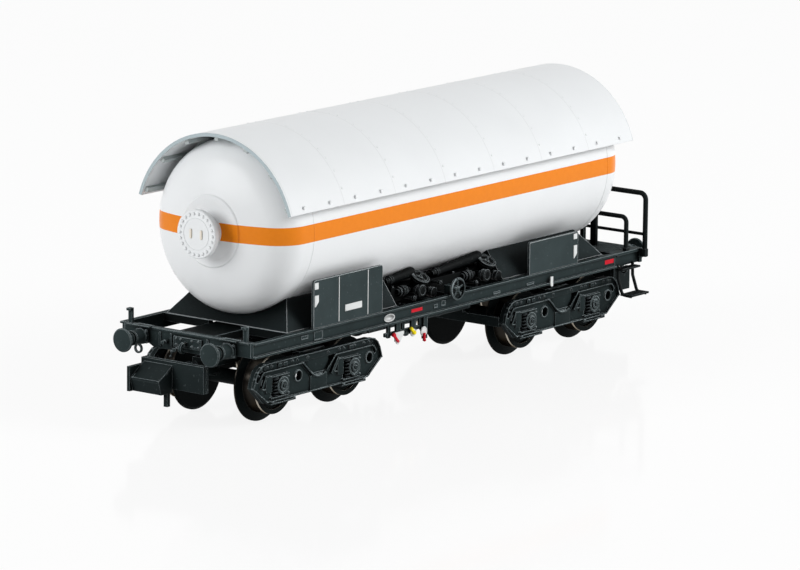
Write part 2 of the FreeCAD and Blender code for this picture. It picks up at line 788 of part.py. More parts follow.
def coupler(end):
    """A box-type hook coupler: face plate, sloping beak, a cheek, a tail and the shank."""
    pivot_x = -abs(pivot_places[end]) - coupler_pivot_reach
    plate_back = -buffer_face_x + head_from_buffer_face
    plate_front = plate_back - head_plate
    nose = -buffer_face_x - beak_overhang
    shank_low = shank_top_z - shank_height
    head = block(plate_front, plate_back, -head_half_width, head_half_width,
                 head_bottom_z, head_top_z)
    beak_y = (0, head_half_width - cheek_thickness)
    beak = plate_xz([(plate_front, head_top_z - 0.35), (nose + 0.15, beak_ridge_z + 0.1),
                     (nose + 0.15, beak_ridge_z - 0.1), (nose + 0.5, beak_bottom_z),
                     (plate_front, beak_bottom_z)], *beak_y)
    outer_cheek = plate_xz([(plate_front, beak_bottom_z), (nose, beak_bottom_z),
                            (nose, cheek_top_z), (plate_front, cheek_top_z)],
                           head_half_width - cheek_thickness, head_half_width)
    tail_x = plate_front - 0.3 - tail_width
    tail = block(tail_x, tail_x + tail_width, 0, tail_width, tail_bottom_z, beak_bottom_z)
    shank = block(plate_back, pivot_x, -shank_half, shank_half, shank_low, shank_top_z)
    eye = Part.makeCylinder(shank_half, shank_height, V(pivot_x, 0, shank_low))
    body = fused(head, beak, outer_cheek, tail, shank, eye)
    body = body.cut(Part.makeCylinder(coupler_pin_radius + coupler_clearance, shank_height,
                                      V(pivot_x, 0, shank_low)))
    return body if end == "front" else half_turn(body)


# ---------------------------------------------------------------- the nodes

os.makedirs("parts", exist_ok=True)

tank = tank_body()
write("tank_shell", tank)
write("manhole_cover", manhole_cover())
write("sun_shield", sun_shield())
write("shield_frame", shield_frame(tank))

near_bar = sole_bar()
write("sole_bars", near_bar, mirrored_y(near_bar))
write("headstock_front", headstock(-1))
write("headstock_rear", headstock(1))
write("centre_sill", centre_sill())
write("cross_members", *cross_members())
write("pivot_pins", *[pivot_pin(x) for x in pivot_places.values()])
write("saddle_front", saddle(-1, tank))
write("saddle_rear", saddle(1, tank))
boards = [sign_board(*board_front), sign_board(*board_rear)]
write("sign_boards", *boards, *[half_turn(board) for board in boards])

write("buffers_front", buffer(-1, buffer_y), buffer(-1, -buffer_y))
write("buffers_rear", buffer(1, buffer_y), buffer(1, -buffer_y))
write("draw_hooks", draw_hook(-1), draw_hook(1))
write("lamp_irons", lamp_iron(-lamp_iron_y), lamp_iron(lamp_iron_y))
write("platform_deck", platform_deck())
write("end_railing", end_railing())
near_hoop = inner_railing()
write("inner_railings", near_hoop, mirrored_y(near_hoop))
write("brake_column", brake_column())
near_steps = steps()
write("steps", near_steps, mirrored_y(near_steps))

near_manifold = manifold()
write("valve_manifolds", near_manifold, half_turn(near_manifold))
pipes = [valve_pipe(x, z) for x, z in pipe_places]
carriers = Part.makeCompound([near_manifold, *pipes])
hoods = [valve_hood(x, carriers) for x in hood_x]
write("valve_hoods", *hoods, *[half_turn(hood) for hood in hoods])
write("valve_pipes", *pipes, *[half_turn(pipe) for pipe in pipes])
near_wheel = handwheel()
write("handwheels", near_wheel, half_turn(near_wheel))
for name, maker in (("lever_hangers", lever_hanger), ("lever_discs", lever_disc),
                    ("lever_arms", lever_arm)):
    near = [maker(x, low_z) for x, low_z in lever_places]
    write(name, *near, *[half_turn(piece) for piece in near])
write("brake_cylinder", hung_vessel(cylinder_radius, cylinder_length, -3.5, -0.2))
write("air_reservoir", hung_vessel(reservoir_radius, reservoir_length, 4.2, 0.2))

for end, x in pivot_places.items():
    write(f"bogie_frame_{end}", bogie_frame(end))
    near_side = side_frame(x)
    write(f"bogie_sides_{end}", near_side, mirrored_y(near_side))
    boxes = [axle_box(x + dx, side) for dx in (-wheelbase / 2, wheelbase / 2) for side in (-1, 1)]
    write(f"axle_boxes_{end}", *boxes)
    write(f"coupler_{end}", coupler(end))
    for place, dx in (("outer", outward[end]), ("inner", -outward[end])):
        axle_x = x + dx * wheelbase / 2
        write(f"wheelset_{end}_{place}", wheel(axle_x, -1), wheel(axle_x, 1), axle(axle_x))
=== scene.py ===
import json
import math
import bmesh
import bpy
from mathutils import Matrix, Vector

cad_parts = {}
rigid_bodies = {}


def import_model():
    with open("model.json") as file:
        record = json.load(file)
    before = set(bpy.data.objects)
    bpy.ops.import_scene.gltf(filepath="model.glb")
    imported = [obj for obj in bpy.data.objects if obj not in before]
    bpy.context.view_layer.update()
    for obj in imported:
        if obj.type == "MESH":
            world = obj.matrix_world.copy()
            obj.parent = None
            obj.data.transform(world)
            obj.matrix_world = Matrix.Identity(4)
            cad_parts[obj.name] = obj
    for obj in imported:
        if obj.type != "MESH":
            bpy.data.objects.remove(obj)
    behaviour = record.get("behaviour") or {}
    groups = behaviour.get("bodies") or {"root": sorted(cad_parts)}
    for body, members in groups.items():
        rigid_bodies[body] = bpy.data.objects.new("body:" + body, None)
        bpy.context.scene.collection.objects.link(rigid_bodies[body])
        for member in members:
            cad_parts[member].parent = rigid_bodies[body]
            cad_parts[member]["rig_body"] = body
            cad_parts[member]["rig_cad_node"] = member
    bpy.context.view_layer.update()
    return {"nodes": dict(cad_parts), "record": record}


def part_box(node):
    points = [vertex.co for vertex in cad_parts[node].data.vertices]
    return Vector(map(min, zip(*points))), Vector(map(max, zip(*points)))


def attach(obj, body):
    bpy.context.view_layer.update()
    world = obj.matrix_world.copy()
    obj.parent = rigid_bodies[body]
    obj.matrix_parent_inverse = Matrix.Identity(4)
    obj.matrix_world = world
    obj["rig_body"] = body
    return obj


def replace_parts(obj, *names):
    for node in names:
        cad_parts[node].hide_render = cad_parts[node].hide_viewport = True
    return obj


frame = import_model()

# ---------------------------------------------------------------- camera
# A long lens stands low off the front left corner and looks along the wagon's near side. It is
# tipped a little to one side.
MM = 0.001
lens_length, film_width = 250.27, 36.0
lens_place = Vector((-438.462, -335.483, 119.19))
azimuth, elevation, roll = (math.radians(angle) for angle in (-52.68, 11.288, 0.636))
camera_data = bpy.data.cameras.new("camera")
camera_data.lens = lens_length
camera_data.sensor_width = film_width
camera_data.clip_start = 0.05
camera = bpy.data.objects.new("camera", camera_data)
bpy.context.scene.collection.objects.link(camera)
back = Vector((math.sin(azimuth) * math.cos(elevation), -math.cos(azimuth) * math.cos(elevation),
               math.sin(elevation)))
level = Vector((0, 0, 1)).cross(back).normalized()
upright = back.cross(level)
across = level * math.cos(roll) + upright * math.sin(roll)
above = upright * math.cos(roll) - level * math.sin(roll)
stand = Matrix((across, above, back)).transposed().to_4x4()
stand.translation = lens_place * MM
camera.matrix_world = stand
bpy.context.scene.camera = camera
bpy.context.scene.view_settings.view_transform = "Standard"


# ---------------------------------------------------------------- shader notation
# Paint and plastic are written as sums on sockets. Sums add Math nodes, and every other node
# comes from added().
class Signal:
    """A shader socket that sums can be written with."""

    def __init__(self, tree, socket):
        self.tree = tree
        self.socket = socket

    def join(self, operation, first, second):
        """A Math node's result from two signals or numbers."""
        node = self.tree.nodes.new("ShaderNodeMath")
        node.operation = operation
        for place, given in enumerate((first, second)):
            if isinstance(given, Signal):
                self.tree.links.new(given.socket, node.inputs[place])
            else:
                node.inputs[place].default_value = given
        return Signal(self.tree, node.outputs[0])

    def __add__(self, other):
        return self.join("ADD", self, other)

    def __sub__(self, other):
        return self.join("SUBTRACT", self, other)

    def __mul__(self, other):
        return self.join("MULTIPLY", self, other)

    def __rsub__(self, other):
        return self.join("SUBTRACT", other, self)

    def __gt__(self, other):
        return self.join("GREATER_THAN", self, other)

    def __lt__(self, other):
        return self.join("LESS_THAN", self, other)

    __radd__ = __add__
    __rmul__ = __mul__

    def capped(self):
        """The signal kept between 0 and 1."""
        return self.join("MINIMUM", self.join("MAXIMUM", self, 0.0), 1.0)


def added(tree, kind, settings=None, inputs=None, output=0):
    """One output of a new node in a tree, given its settings and then its sockets."""
    node = tree.nodes.new(kind)
    for setting, value in (settings or {}).items():
        setattr(node, setting, value)
    for socket, value in (inputs or {}).items():
        if isinstance(value, Signal):
            tree.links.new(value.socket, node.inputs[socket])
        else:
            node.inputs[socket].default_value = value
    return Signal(tree, node.outputs[output])


class Finish:
    """A material being made up, with its shader and its surface pattern's coordinates."""

    def __init__(self, name, uniform):
        self.material = bpy.data.materials.new(name)
        self.material.use_nodes = True
        self.tree = self.material.node_tree
        self.shader = self.tree.nodes["Principled BSDF"]
        for socket, value in uniform.items():
            self.shader.inputs[socket].default_value = value
        self.where = self.node("ShaderNodeTexCoord", output="Object")

    def node(self, kind, settings=None, inputs=None, output=0):
        """One output of a new node in this material."""
        return added(self.tree, kind, settings, inputs, output)

    def noise(self, scale, detail=3.0):
        """A soft pattern between 0 and 1, finer as its scale rises."""
        return self.node("ShaderNodeTexNoise", None,
                         {"Vector": self.where, "Scale": scale, "Detail": detail})

    def mix(self, share, plain, other):
        """One colour giving way to another."""
        return self.node("ShaderNodeMix", {"data_type": "RGBA"},
                         {0: share, 6: plain, 7: other}, 2)

    def edges(self, width, gain):
        """0 on a flat face, rising towards 1 where two faces meet, and the rounded normal."""
        rounded = self.node("ShaderNodeBevel", {"samples": 4}, {"Radius": width * MM})
        face = self.node("ShaderNodeNewGeometry", output="Normal")
        same = self.node("ShaderNodeVectorMath", {"operation": "DOT_PRODUCT"},
                         {0: rounded, 1: face}, "Value")
        return ((1 - same) * gain).capped(), rounded

    def axes(self):
        """The place on the piece along X, Y and Z."""
        return [self.node("ShaderNodeSeparateXYZ", None, {0: self.where}, axis)
                for axis in range(3)]

    def feed(self, socket, signal):
        """Leads a signal into one of the shader's sockets."""
        self.tree.links.new(signal.socket, self.shader.inputs[socket])

    def relief(self, height, depth, normal):
        """Fine relief of a depth in millimetres, over a rounded normal."""
        self.feed("Normal", self.node("ShaderNodeBump", None, {
            "Height": height, "Strength": 1.0, "Distance": depth * MM, "Normal": normal}))


def tint(red, green, blue, share=1.0):
    """A colour for a socket, brightened or dimmed by a share."""
    return (red * share, green * share, blue * share, 1.0)


# ---------------------------------------------------------------- studio
# The wagon stands on a pale glossy table, lit by a plain soft light and three large lamps. The
# table looks white to the eye and keeps the wagon's shadow.
def seen(tree):
    """1 on a ray that shows the surroundings, straight on, in a reflection or through glass."""
    straight, mirrored, through = (added(tree, "ShaderNodeLightPath", output=f"Is {kind} Ray")
                                   for kind in ("Camera", "Glossy", "Transmission"))
    return (straight + mirrored + through).capped()


table_size = 6.0
table_white = 0.87
bpy.ops.object.select_all(action="DESELECT")
bpy.ops.mesh.primitive_plane_add(size=table_size, location=(0, 0, 0))
table = bpy.context.object
table.name = "table"
top = Finish("table_top", {"Base Color": tint(0.9, 0.9, 0.9), "Roughness": 0.09})
glow = top.node("ShaderNodeEmission", None, {"Color": tint(1, 1, 1), "Strength": 1.0})
shown = top.node("ShaderNodeMixShader", None, {0: seen(top.tree) * table_white,
                                               1: Signal(top.tree, top.shader.outputs[0]), 2: glow})
top.tree.links.new(shown.socket, top.tree.nodes["Material Output"].inputs["Surface"])
table.data.materials.append(top.material)

sky_light = 0.23
world = bpy.data.worlds.new("studio")
bpy.context.scene.world = world
world.use_nodes = True
sky = world.node_tree
backdrop = sky.nodes["Background"]
backdrop.inputs["Color"].default_value = tint(1, 1, 1)
sky.links.new((seen(sky) * (1 - sky_light) + sky_light).socket, backdrop.inputs["Strength"])
aim = Vector((0, 0, 0.014))
for name, place, size, power in (("key", (0.24, -0.44, 0.26), 0.26, 2.55),
                                 ("fill", (-0.46, 0.22, 0.22), 0.30, 1.8),
                                 ("rim", (0.02, 0.36, 0.48), 0.30, 0.35)):
    lamp_data = bpy.data.lights.new(name, "AREA")
    lamp_data.energy = power
    lamp_data.size = size
    lamp = bpy.data.objects.new(name, lamp_data)
    bpy.context.scene.collection.objects.link(lamp)
    lamp.location = place
    lamp.rotation_euler = (aim - lamp.location).to_track_quat("-Z", "Y").to_euler()


# ---------------------------------------------------------------- underframe
# Sole bars, headstocks and centre sill are one charcoal plastic moulding, with a fine grain from
# the mould, edges rubbed paler and painted as highlights, painted shade in hollows and under
# other parts, and faint clouding where the melt flowed.
def moulded(name, colour, rubbed_and_lit, roughness=0.5, edge=0.085, shade=1.6):
    """Moulded plastic: painted shade in hollows and under parts, edges rubbed and painted as
    highlights.
    """
    finish = Finish(name, {"Specular IOR Level": 0.03})
    cloud = finish.noise(420.0, 4.0)
    grain = finish.noise(14000.0, 2.0)
    speck = finish.noise(3200.0, 2.0)
    corner, rounded = finish.edges(edge, 14.0)
    # Occlusion over two reaches drives painted shade: close hollows, and shelter under parts overhead.
    shade_ao_near, shade_ao_far = (finish.node("ShaderNodeAmbientOcclusion", {"samples": 6},
                                     {"Distance": reach * MM}, "AO") for reach in (1.8, 15.0))
    # Upper edges take more of the painted highlight, as if lit from above.
    lit_from_above = finish.node("ShaderNodeSeparateXYZ", None, {0: rounded}, 2) * 0.6 + 0.55
    plain = finish.mix(cloud, tint(*colour, 0.7), tint(*colour, 1.35))
    plain = finish.mix((speck > 0.68) * 0.12, plain, tint(*rubbed_and_lit, 0.45))
    # Painted shade: hollows go near black, and sheltered faces darken by the shade gain.
    plain = finish.mix(((1 - shade_ao_near) * 2.1 - 0.40).capped(), plain, tint(*colour, 0.08))
    plain = finish.mix(((1 - shade_ao_far) * shade - 0.5).capped(), plain, tint(*colour, 0.2))
    # Edges take the rubbed colour: partly wear, mostly a painted highlight, kept out of hollows.
    worn_and_lit = corner * lit_from_above * (0.6 + speck * 0.5) * (shade_ao_near * 2.2 - 0.5).capped()
    finish.feed("Base Color", finish.mix(worn_and_lit.capped(), plain, tint(*rubbed_and_lit)))
    finish.feed("Roughness", (roughness - 0.12 + cloud * 0.2 + speck * 0.08).capped())
    finish.relief(grain * 0.5 + speck * 0.5, 0.008, rounded)
    return finish.material


def dress(node, finish):
    """Gives a node its finish."""
    mesh = frame["nodes"][node].data
    mesh.materials.clear()
    mesh.materials.append(finish)


charcoal = (0.0235, 0.0340, 0.0352)
# The charcoal's paler edge colour is rubbed wear and a painted highlight.
charcoal_rubbed_and_lit = (0.46, 0.53, 0.55)
frame_plastic = moulded("frame_plastic", charcoal, charcoal_rubbed_and_lit)
for node in ("sole_bars", "headstock_front", "headstock_rear", "platform_deck", "brake_column",
             "lamp_irons", "lever_hangers", "handwheels"):
    dress(node, frame_plastic)

# The parts between the sole bars are moulded in the same plastic and lie in their shade, which is
# painted in as a darker colour and strong painted shade.
under_shaded_black = moulded("under_shaded_black", (0.0110, 0.0160, 0.0166), (0.34, 0.40, 0.42), 0.45, shade=4.2)
for node in ("centre_sill", "cross_members", "pivot_pins", "brake_cylinder", "air_reservoir"):
    dress(node, under_shaded_black)


def point(x, y, z):
    """A point given in millimetres."""
    return Vector((x, y, z)) * MM


def limits(node):
    """The low and high corners of a node, in millimetres."""
    return [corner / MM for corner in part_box(node)]


def begin(primitive, stretch=(1, 1, 1), **settings):
    """Adds a primitive with nothing else selected, settles it and opens it for shaping."""
    bpy.ops.object.select_all(action="DESELECT")
    primitive(**settings)
    bpy.context.object.scale = stretch
    bpy.ops.object.transform_apply(location=True, rotation=True, scale=True)
    bpy.ops.object.mode_set(mode="EDIT")
    return bpy.context.object


def pick(piece, kind, test):
    """Selects the faces or edges of the piece in hand whose middle and normal pass a test."""
    bpy.ops.mesh.select_mode(type=kind)
    bpy.ops.mesh.select_all(action="DESELECT")
    mesh = bmesh.from_edit_mesh(piece.data)
    for item in mesh.faces if kind == "FACE" else mesh.edges:
        if kind == "FACE":
            chosen = test(item.calc_center_median() / MM, item.normal)
        else:
            ends = [vertex.co / MM for vertex in item.verts]
            chosen = test((ends[0] + ends[1]) / 2, (ends[1] - ends[0]).normalized())
        item.select_set(chosen)
    mesh.select_flush_mode()
    bmesh.update_edit_mesh(piece.data)


def block(low, high, bevel=0.05, cuts=(), segments=2):
    """A bar or plate between two corners, sawn off beyond each cut, with its edges eased."""
    low, high = Vector(low), Vector(high)
    piece = begin(bpy.ops.mesh.primitive_cube_add, size=1.0, location=(low + high) / 2 * MM,
                  stretch=(high - low) * MM)
    for place, normal in cuts:
        bpy.ops.mesh.select_all(action="SELECT")
        bpy.ops.mesh.bisect(plane_co=point(*place), plane_no=normal, use_fill=True,
                            clear_outer=True, threshold=1e-7)
    bpy.ops.mesh.select_all(action="SELECT")
    bpy.ops.mesh.bevel(offset=bevel * MM, segments=segments, affect="EDGES")
    return piece


def sink(margin, depth):
    """Insets the picked faces and pushes them in, or out where depth is negative."""
    bpy.ops.mesh.inset(thickness=margin * MM, depth=-depth * MM)


def closed(piece):
    """Leaves edit mode with the faces pointing outwards."""
    bpy.ops.mesh.select_all(action="SELECT")
    bpy.ops.mesh.remove_doubles(threshold=1e-7)
    bpy.ops.mesh.normals_make_consistent(inside=False)
    bpy.ops.object.mode_set(mode="OBJECT")
    return piece


def sunk(piece, facing, margin, depth):
    """Finishes a block with a sunk field, or a raised one, on the side that faces a way."""
    pick(piece, "FACE", lambda middle, normal: normal.dot(Vector(facing)) > 0.9)
    sink(margin, depth)
    return closed(piece)


def only(piece):
    """Selects one piece and makes it the active one."""
    bpy.ops.object.select_all(action="DESELECT")
    piece.select_set(True)
    bpy.context.view_layer.objects.active = piece


def repeat(piece, places):
    """Copies of a piece, each with its own mesh, at each place; the pattern piece is left."""
    made = []
    for place in places:
        twin = piece.copy()
        twin.data = piece.data.copy()
        twin.data.transform(place)
        bpy.context.scene.collection.objects.link(twin)
        made.append(twin)
    return made


def merged(pieces):
    """Several pieces as one."""
    bpy.ops.object.select_all(action="DESELECT")
    for piece in pieces:
        piece.select_set(True)
    bpy.context.view_layer.objects.active = pieces[0]
    if len(pieces) > 1:
        bpy.ops.object.join()
    return pieces[0]


def spread(piece, places):
    """Copies of a piece at each place joined as one, with the pattern piece cleared away."""
    made = merged(repeat(piece, places))
    bpy.data.objects.remove(piece)
    return made


def fit(piece, name, finish, body, angle=32):
    """Names a finished piece, smooths it by angle, finishes it and sets it on its body."""
    only(piece)
    bpy.ops.object.shade_smooth_by_angle(angle=math.radians(angle))
    piece.name = name
    piece.data.name = name
    piece.data.materials.clear()
    piece.data.materials.append(finish)
    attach(piece, body)
    return piece


def at(x, y, z, turn=0.0):
    """A place in millimetres, turned about the upright in degrees."""
    return Matrix.Translation(point(x, y, z)) @ Matrix.Rotation(math.radians(turn), 4, "Z")


FRONT, REAR, NEAR, FAR, UP = (-1, 0, 0), (1, 0, 0), (0, -1, 0), (0, 1, 0), (0, 0, 1)
HALF_TURN = Matrix.Rotation(math.pi, 4, "Z")
ONCE = (Matrix.Identity(4),)
BOTH_SIDES = (Matrix.Identity(4), HALF_TURN)


def on_wagon(parts, name, finish, stands_for=None, places=BOTH_SIDES):
    """Joins parts and sets a copy at each place on the wagon, for the node it stands for."""
    piece = fit(spread(merged(parts), places), name, finish, "wagon")
    if stands_for:
        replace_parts(piece, stands_for)


# Small blank plates on the sole bars' webs, raised from the moulding, with a sunk field. Each
# is given by its ends along the bar and its two heights.
flange_depth = 0.3
web_y = limits("sole_bars")[0].y + flange_depth
plate_spots = ((-22.9, -21.5, 7.98, 8.86), (-24.9, -23.8, 8.35, 8.75), (-3.6, -2.95, 8.2, 8.62),
               (-2.35, -1.65, 8.22, 8.8), (12.1, 13.4, 8.1, 8.4), (6.4, 7.6, 8.05, 8.35))
on_wagon([sunk(block((x0, web_y - 0.06, z0), (x1, web_y + 0.02, z1), 0.02), NEAR, 0.07, 0.03)
          for x0, x1, z0, z1 in plate_spots], "sole_bar_plates", frame_plastic)


def enamel(name, colour, roughness=0.32, wear=(0.3, 0.3, 0.29)):
    """Sprayed or printed paint on plastic: slightly uneven, thin at the edges."""
    finish = Finish(name, {"Specular IOR Level": 0.08})
    cloud = finish.noise(900.0, 4.0)
    skin = finish.noise(6000.0, 2.0)
    corner, rounded = finish.edges(0.04, 1.6)
    plain = finish.mix(cloud, tint(*colour, 0.86), tint(*colour, 1.08))
    finish.feed("Base Color", finish.mix(corner * skin, plain, tint(*wear)))
    finish.feed("Roughness", roughness - 0.06 + cloud * 0.14)
    finish.relief(skin, 0.006, rounded)
    return finish.material


marking_white = enamel("marking_white", (0.72, 0.74, 0.74))
signal_red = enamel("signal_red", (0.58, 0.008, 0.022))
signal_yellow = enamel("signal_yellow", (0.90, 0.72, 0.012))

# An oval ring, two short red panels and a pale hanging tab are picked out in paint.
oval_centre = point(-10.85, web_y - 0.01, 8.38)
oval = begin(bpy.ops.mesh.primitive_circle_add, vertices=28, radius=1.0 * MM, fill_type="NGON",
             location=oval_centre, rotation=(math.radians(90), 0, 0))
bpy.ops.transform.resize(value=(0.86, 1, 0.4), center_override=oval_centre)
bpy.ops.mesh.extrude_region_move(TRANSFORM_OT_translate={"value": point(0, -0.05, 0)})
sink(0.09, 0.045)
on_wagon([closed(oval)], "oval_rings", marking_white)
tab = block((15.8, web_y - 0.42, 7.5), (16.25, web_y - 0.3, 8.55), 0.04,
            [((15.8, web_y, 7.7), (-0.7, 0, -0.7))])
on_wagon([sunk(tab, NEAR, 0.08, 0.03)], "sole_bar_tabs", marking_white)
on_wagon([sunk(block((x0, web_y - 0.03, z0), (x1, web_y + 0.02, z1), 0.02), NEAR, 0.05, 0.01)
          for x0, x1, z0, z1 in ((-7.25, -5.45, 8.32, 8.66), (25.95, 27.5, 8.25, 8.7))],
         "red_panels", signal_red)


# ---------------------------------------------------------------- headstock fittings
# Buffers are turned with a domed head on a stepped stock, on a square base with four bolts.
# They are plugged into the headstocks, and the draw gear between them is one moulding.
def turned(centre, axis, rings, sides=24):
    """A turned piece: a disc drawn out along its axis through rings of (distance, radius)."""
    axis = Vector(axis).normalized()
    centre = point(*centre)
    along, radius = rings[0]
    piece = begin(bpy.ops.mesh.primitive_circle_add, vertices=sides, radius=radius * MM,
                  fill_type="NGON", location=centre + axis * along * MM,
                  rotation=axis.to_track_quat("Z", "Y").to_euler())
    for distance, wide in rings[1:]:
        bpy.ops.mesh.extrude_region_move(
            TRANSFORM_OT_translate={"value": axis * (distance - along) * MM})
        bpy.ops.transform.resize(value=(wide / radius,) * 3,
                                 center_override=centre + axis * distance * MM)
        along, radius = distance, wide
    return closed(piece)


def bolt(across_flats=0.2, height=0.12):
    """A hexagon bolt head on a washer, pointing up from the origin."""
    half = across_flats / 2
    return turned((0, 0, 0), UP,
                  ((-0.03, half * 1.35), (0.03, half * 1.35), (0.035, half * 1.05),
                   (height, half * 1.05), (height + 0.02, half * 0.7)), 6)


def towards(axis):
    """The turn that points an upright pattern piece along an axis."""
    return Vector(axis).to_track_quat("Z", "Y").to_matrix().to_4x4()


def bolts(spots, axis, across_flats=0.2, height=0.12):
    """Bolt heads at several spots, all pointing the same way."""
    turn = towards(axis)
    return spread(bolt(across_flats, height), [Matrix.Translation(point(*s)) @ turn for s in spots])


buffer_low, buffer_high = limits("buffers_front")
head_radius = 1.18
bolt_offset = 0.56
buffer_y = (buffer_high.y - buffer_low.y) / 2 - head_radius
buffer_z = (buffer_low.z + buffer_high.z) / 2
headstock_x = limits("headstock_front")[0].x
buffer_reach = headstock_x - buffer_low.x
buffer_parts = []
for y in (-buffer_y, buffer_y):
    base = block((headstock_x - 0.32, y - 0.7, buffer_z - 0.7), (headstock_x, y + 0.7, buffer_z + 0.7),
                 0.09)
    corners = [(headstock_x - 0.3, y + dy, buffer_z + dz)
               for dy in (-bolt_offset, bolt_offset) for dz in (-bolt_offset, bolt_offset)]
    buffer_parts.append(sunk(base, FRONT, 0.16, -0.06))
    buffer_parts.append(turned((headstock_x, y, buffer_z), FRONT,
                               ((0.25, 0.82), (0.55, 0.8), (0.62, 0.74), (1.7, 0.68), (1.78, 0.74),
                                (1.95, 0.74), (2.0, 0.52), (buffer_reach - 0.62, 0.5),
                                (buffer_reach - 0.44, 0.8), (buffer_reach - 0.36, 1.12),
                                (buffer_reach - 0.28, head_radius),
                                (buffer_reach - 0.16, head_radius), (buffer_reach - 0.08, 1.1),
                                (buffer_reach - 0.03, 0.75), (buffer_reach, 0.3)), 36))
    buffer_parts.append(bolts(corners, FRONT, 0.24))


def at_both_ends(parts, name, stands_for):
    """Front and rear pieces from parts made at the front, the rear one turned half round."""
    front = merged(parts)
    rear = merged(repeat(front, [HALF_TURN]))
    for end, piece in (("rear", rear), ("front", front)):
        fit(piece, f"{name}_{end}", frame_plastic, "wagon")
        if end in stands_for:
            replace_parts(piece, stands_for[end])


at_both_ends(buffer_parts, "turned_buffers", {"front": "buffers_front", "rear": "buffers_rear"})


# Draw gear: a bolted plate with a bent hook; a short brake pipe with its tap hangs beside it.
def bow(centre, start, across_bow, turn, axis, steps=8):
    """A flat bar bent round: a section at start, spun about an axis through centre, degrees."""
    wide, thick = across_bow
    radial = (Vector(start) - Vector(centre)).normalized()
    axis = Vector(axis)
    facing = axis.cross(radial)
    frame_turn = Matrix((radial, axis, facing)).transposed().to_euler()
    piece = begin(bpy.ops.mesh.primitive_plane_add, size=1.0, location=point(*start),
                  stretch=(thick * MM, wide * MM, 1.0), rotation=frame_turn)
    bpy.ops.mesh.spin(steps=steps, angle=math.radians(-turn), center=point(*centre), axis=axis)
    bpy.ops.mesh.select_all(action="SELECT")
    bpy.ops.mesh.remove_doubles(threshold=1e-7)
    if turn % 360:
        bpy.ops.mesh.fill_holes(sides=4)
    return closed(piece)


plate_x = headstock_x - 0.26
hook_x = plate_x - 0.42
ring_x = headstock_x + 0.3
draw_parts = [
    sunk(block((plate_x, -1.95, 7.62), (headstock_x, 1.55, 8.72), 0.07), FRONT, 0.16, 0.07),
    bolts([(plate_x + 0.05, y, z) for y in (-1.6, -0.75, 0.6, 1.2) for z in (7.88, 8.46)], FRONT),
    closed(block((hook_x, -0.2, 7.9), (plate_x + 0.08, 0.2, 8.3), 0.06)),
    bow((hook_x, 0, 7.72), (hook_x, 0, 8.1), (0.3, 0.3), -190, FAR, 10),
    turned((plate_x - 0.1, 1.45, 7.5), (0, 0.35, -1),
           ((0, 0.13), (0.25, 0.13), (0.3, 0.19), (0.42, 0.19), (0.47, 0.1), (0.8, 0.09),
            (0.84, 0.15), (0.96, 0.15)), 12),
    closed(block((headstock_x - 0.1, -7.7, 8.92), (headstock_x + 0.02, 7.7, 9.14), 0.04)),
    bow((ring_x, 6.4, 6.72), (ring_x, 6.4, 7.12), (0.2, 0.18), 330, REAR, 14)]
for y, z in ((0.95, 7.45), (2.45, 8.0)):
    draw_parts.append(turned((plate_x + 0.1, y, z), FRONT,
                             ((0, 0.22), (0.3, 0.22), (0.34, 0.15), (0.52, 0.15), (0.56, 0.19),
                              (0.66, 0.19)), 14))
for y in (1.95, -2.6, 3.35):
    draw_parts.append(closed(block((headstock_x - 0.12, y - 0.14, 7.4),
                                   (headstock_x + 0.02, y + 0.14, 8.85), 0.04)))
at_both_ends(draw_parts, "draw_gear", {"front": "draw_hooks"})

# Footplates over the buffers, moulded on top of the front headstock.
on_wagon([sunk(block((headstock_x - 0.55, y - 1.0, 9.1), (headstock_x + 0.4, y + 1.0, 9.26), 0.04),
               UP, 0.12, 0.04) for y in (-buffer_y, buffer_y)],
         "front_footplates", frame_plastic, places=ONCE)


# ---------------------------------------------------------------- tank
# The pressure tank is one moulding with dished ends, sprayed white with an orange band that
# runs all the way round it. The weld seams are fine raised rings.
def lacquer(name, white=(0.790, 0.810, 0.822), roughness=0.3, band=None, seams=None, cut=None):
    """Sprayed white, with an orange band, joint lines, or ends darkened as painted shade, where asked.
    """
    finish = Finish(name, {"Specular IOR Level": 0.16, "Coat Weight": 0.06, "Coat Roughness": 0.12})
    cloud = finish.noise(160.0)
    peel = finish.noise(2600.0, 2.0)
    corner, rounded = finish.edges(0.06, 1.2)
    x, _, z = finish.axes()
    paint = finish.mix(cloud, tint(*white, 0.965), tint(*white, 1.03))
    height = peel * 0.4
    if band:
        low, high = band
        inside = (z > low * MM) * (z < high * MM)
        orange = finish.mix(peel, tint(0.77, 0.205, 0.004), tint(0.82, 0.235, 0.007))
        paint = finish.mix(inside, paint, orange)
        height = height + inside * 0.8
    if seams:
        first, pitch = seams
        off = x.join("PINGPONG", x - (first - 0.35) * MM, pitch / 2 * MM)
        line = off < 0.035 * MM
        paint = finish.mix(line * 0.22, paint, tint(0.42, 0.43, 0.43))
        height = height - line
    # Painted shade: the sheet's end faces are darkened grey-blue.
    if cut:
        ends = (x < (cut[0].x + 0.04) * MM) + (x > (cut[1].x - 0.04) * MM)
        paint = finish.mix(ends.capped() * 0.7, paint, tint(0.26, 0.36, 0.39))
    finish.feed("Base Color", finish.mix(corner * 0.4, paint, tint(0.55, 0.58, 0.58)))
    finish.feed("Roughness", roughness - 0.05 + cloud * 0.1)
    finish.relief(height, 0.012, rounded)
    return finish.material


def smooth_copy(node, name, finish):
    """A node's own shape with its loose triangles merged, so that it shades smoothly."""
    piece = frame["nodes"][node].copy()
    piece.data = frame["nodes"][node].data.copy()
    piece.parent = None
    for mark in {"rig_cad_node", "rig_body"} & set(piece.keys()):
        del piece[mark]
    bpy.context.scene.collection.objects.link(piece)
    only(piece)
    bpy.ops.object.mode_set(mode="EDIT")
    bpy.ops.mesh.select_all(action="SELECT")
    bpy.ops.mesh.customdata_custom_splitnormals_clear()
    bpy.ops.mesh.remove_doubles(threshold=1e-6)
    bpy.ops.object.mode_set(mode="OBJECT")
    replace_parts(fit(piece, name, finish, "wagon", 28), node)


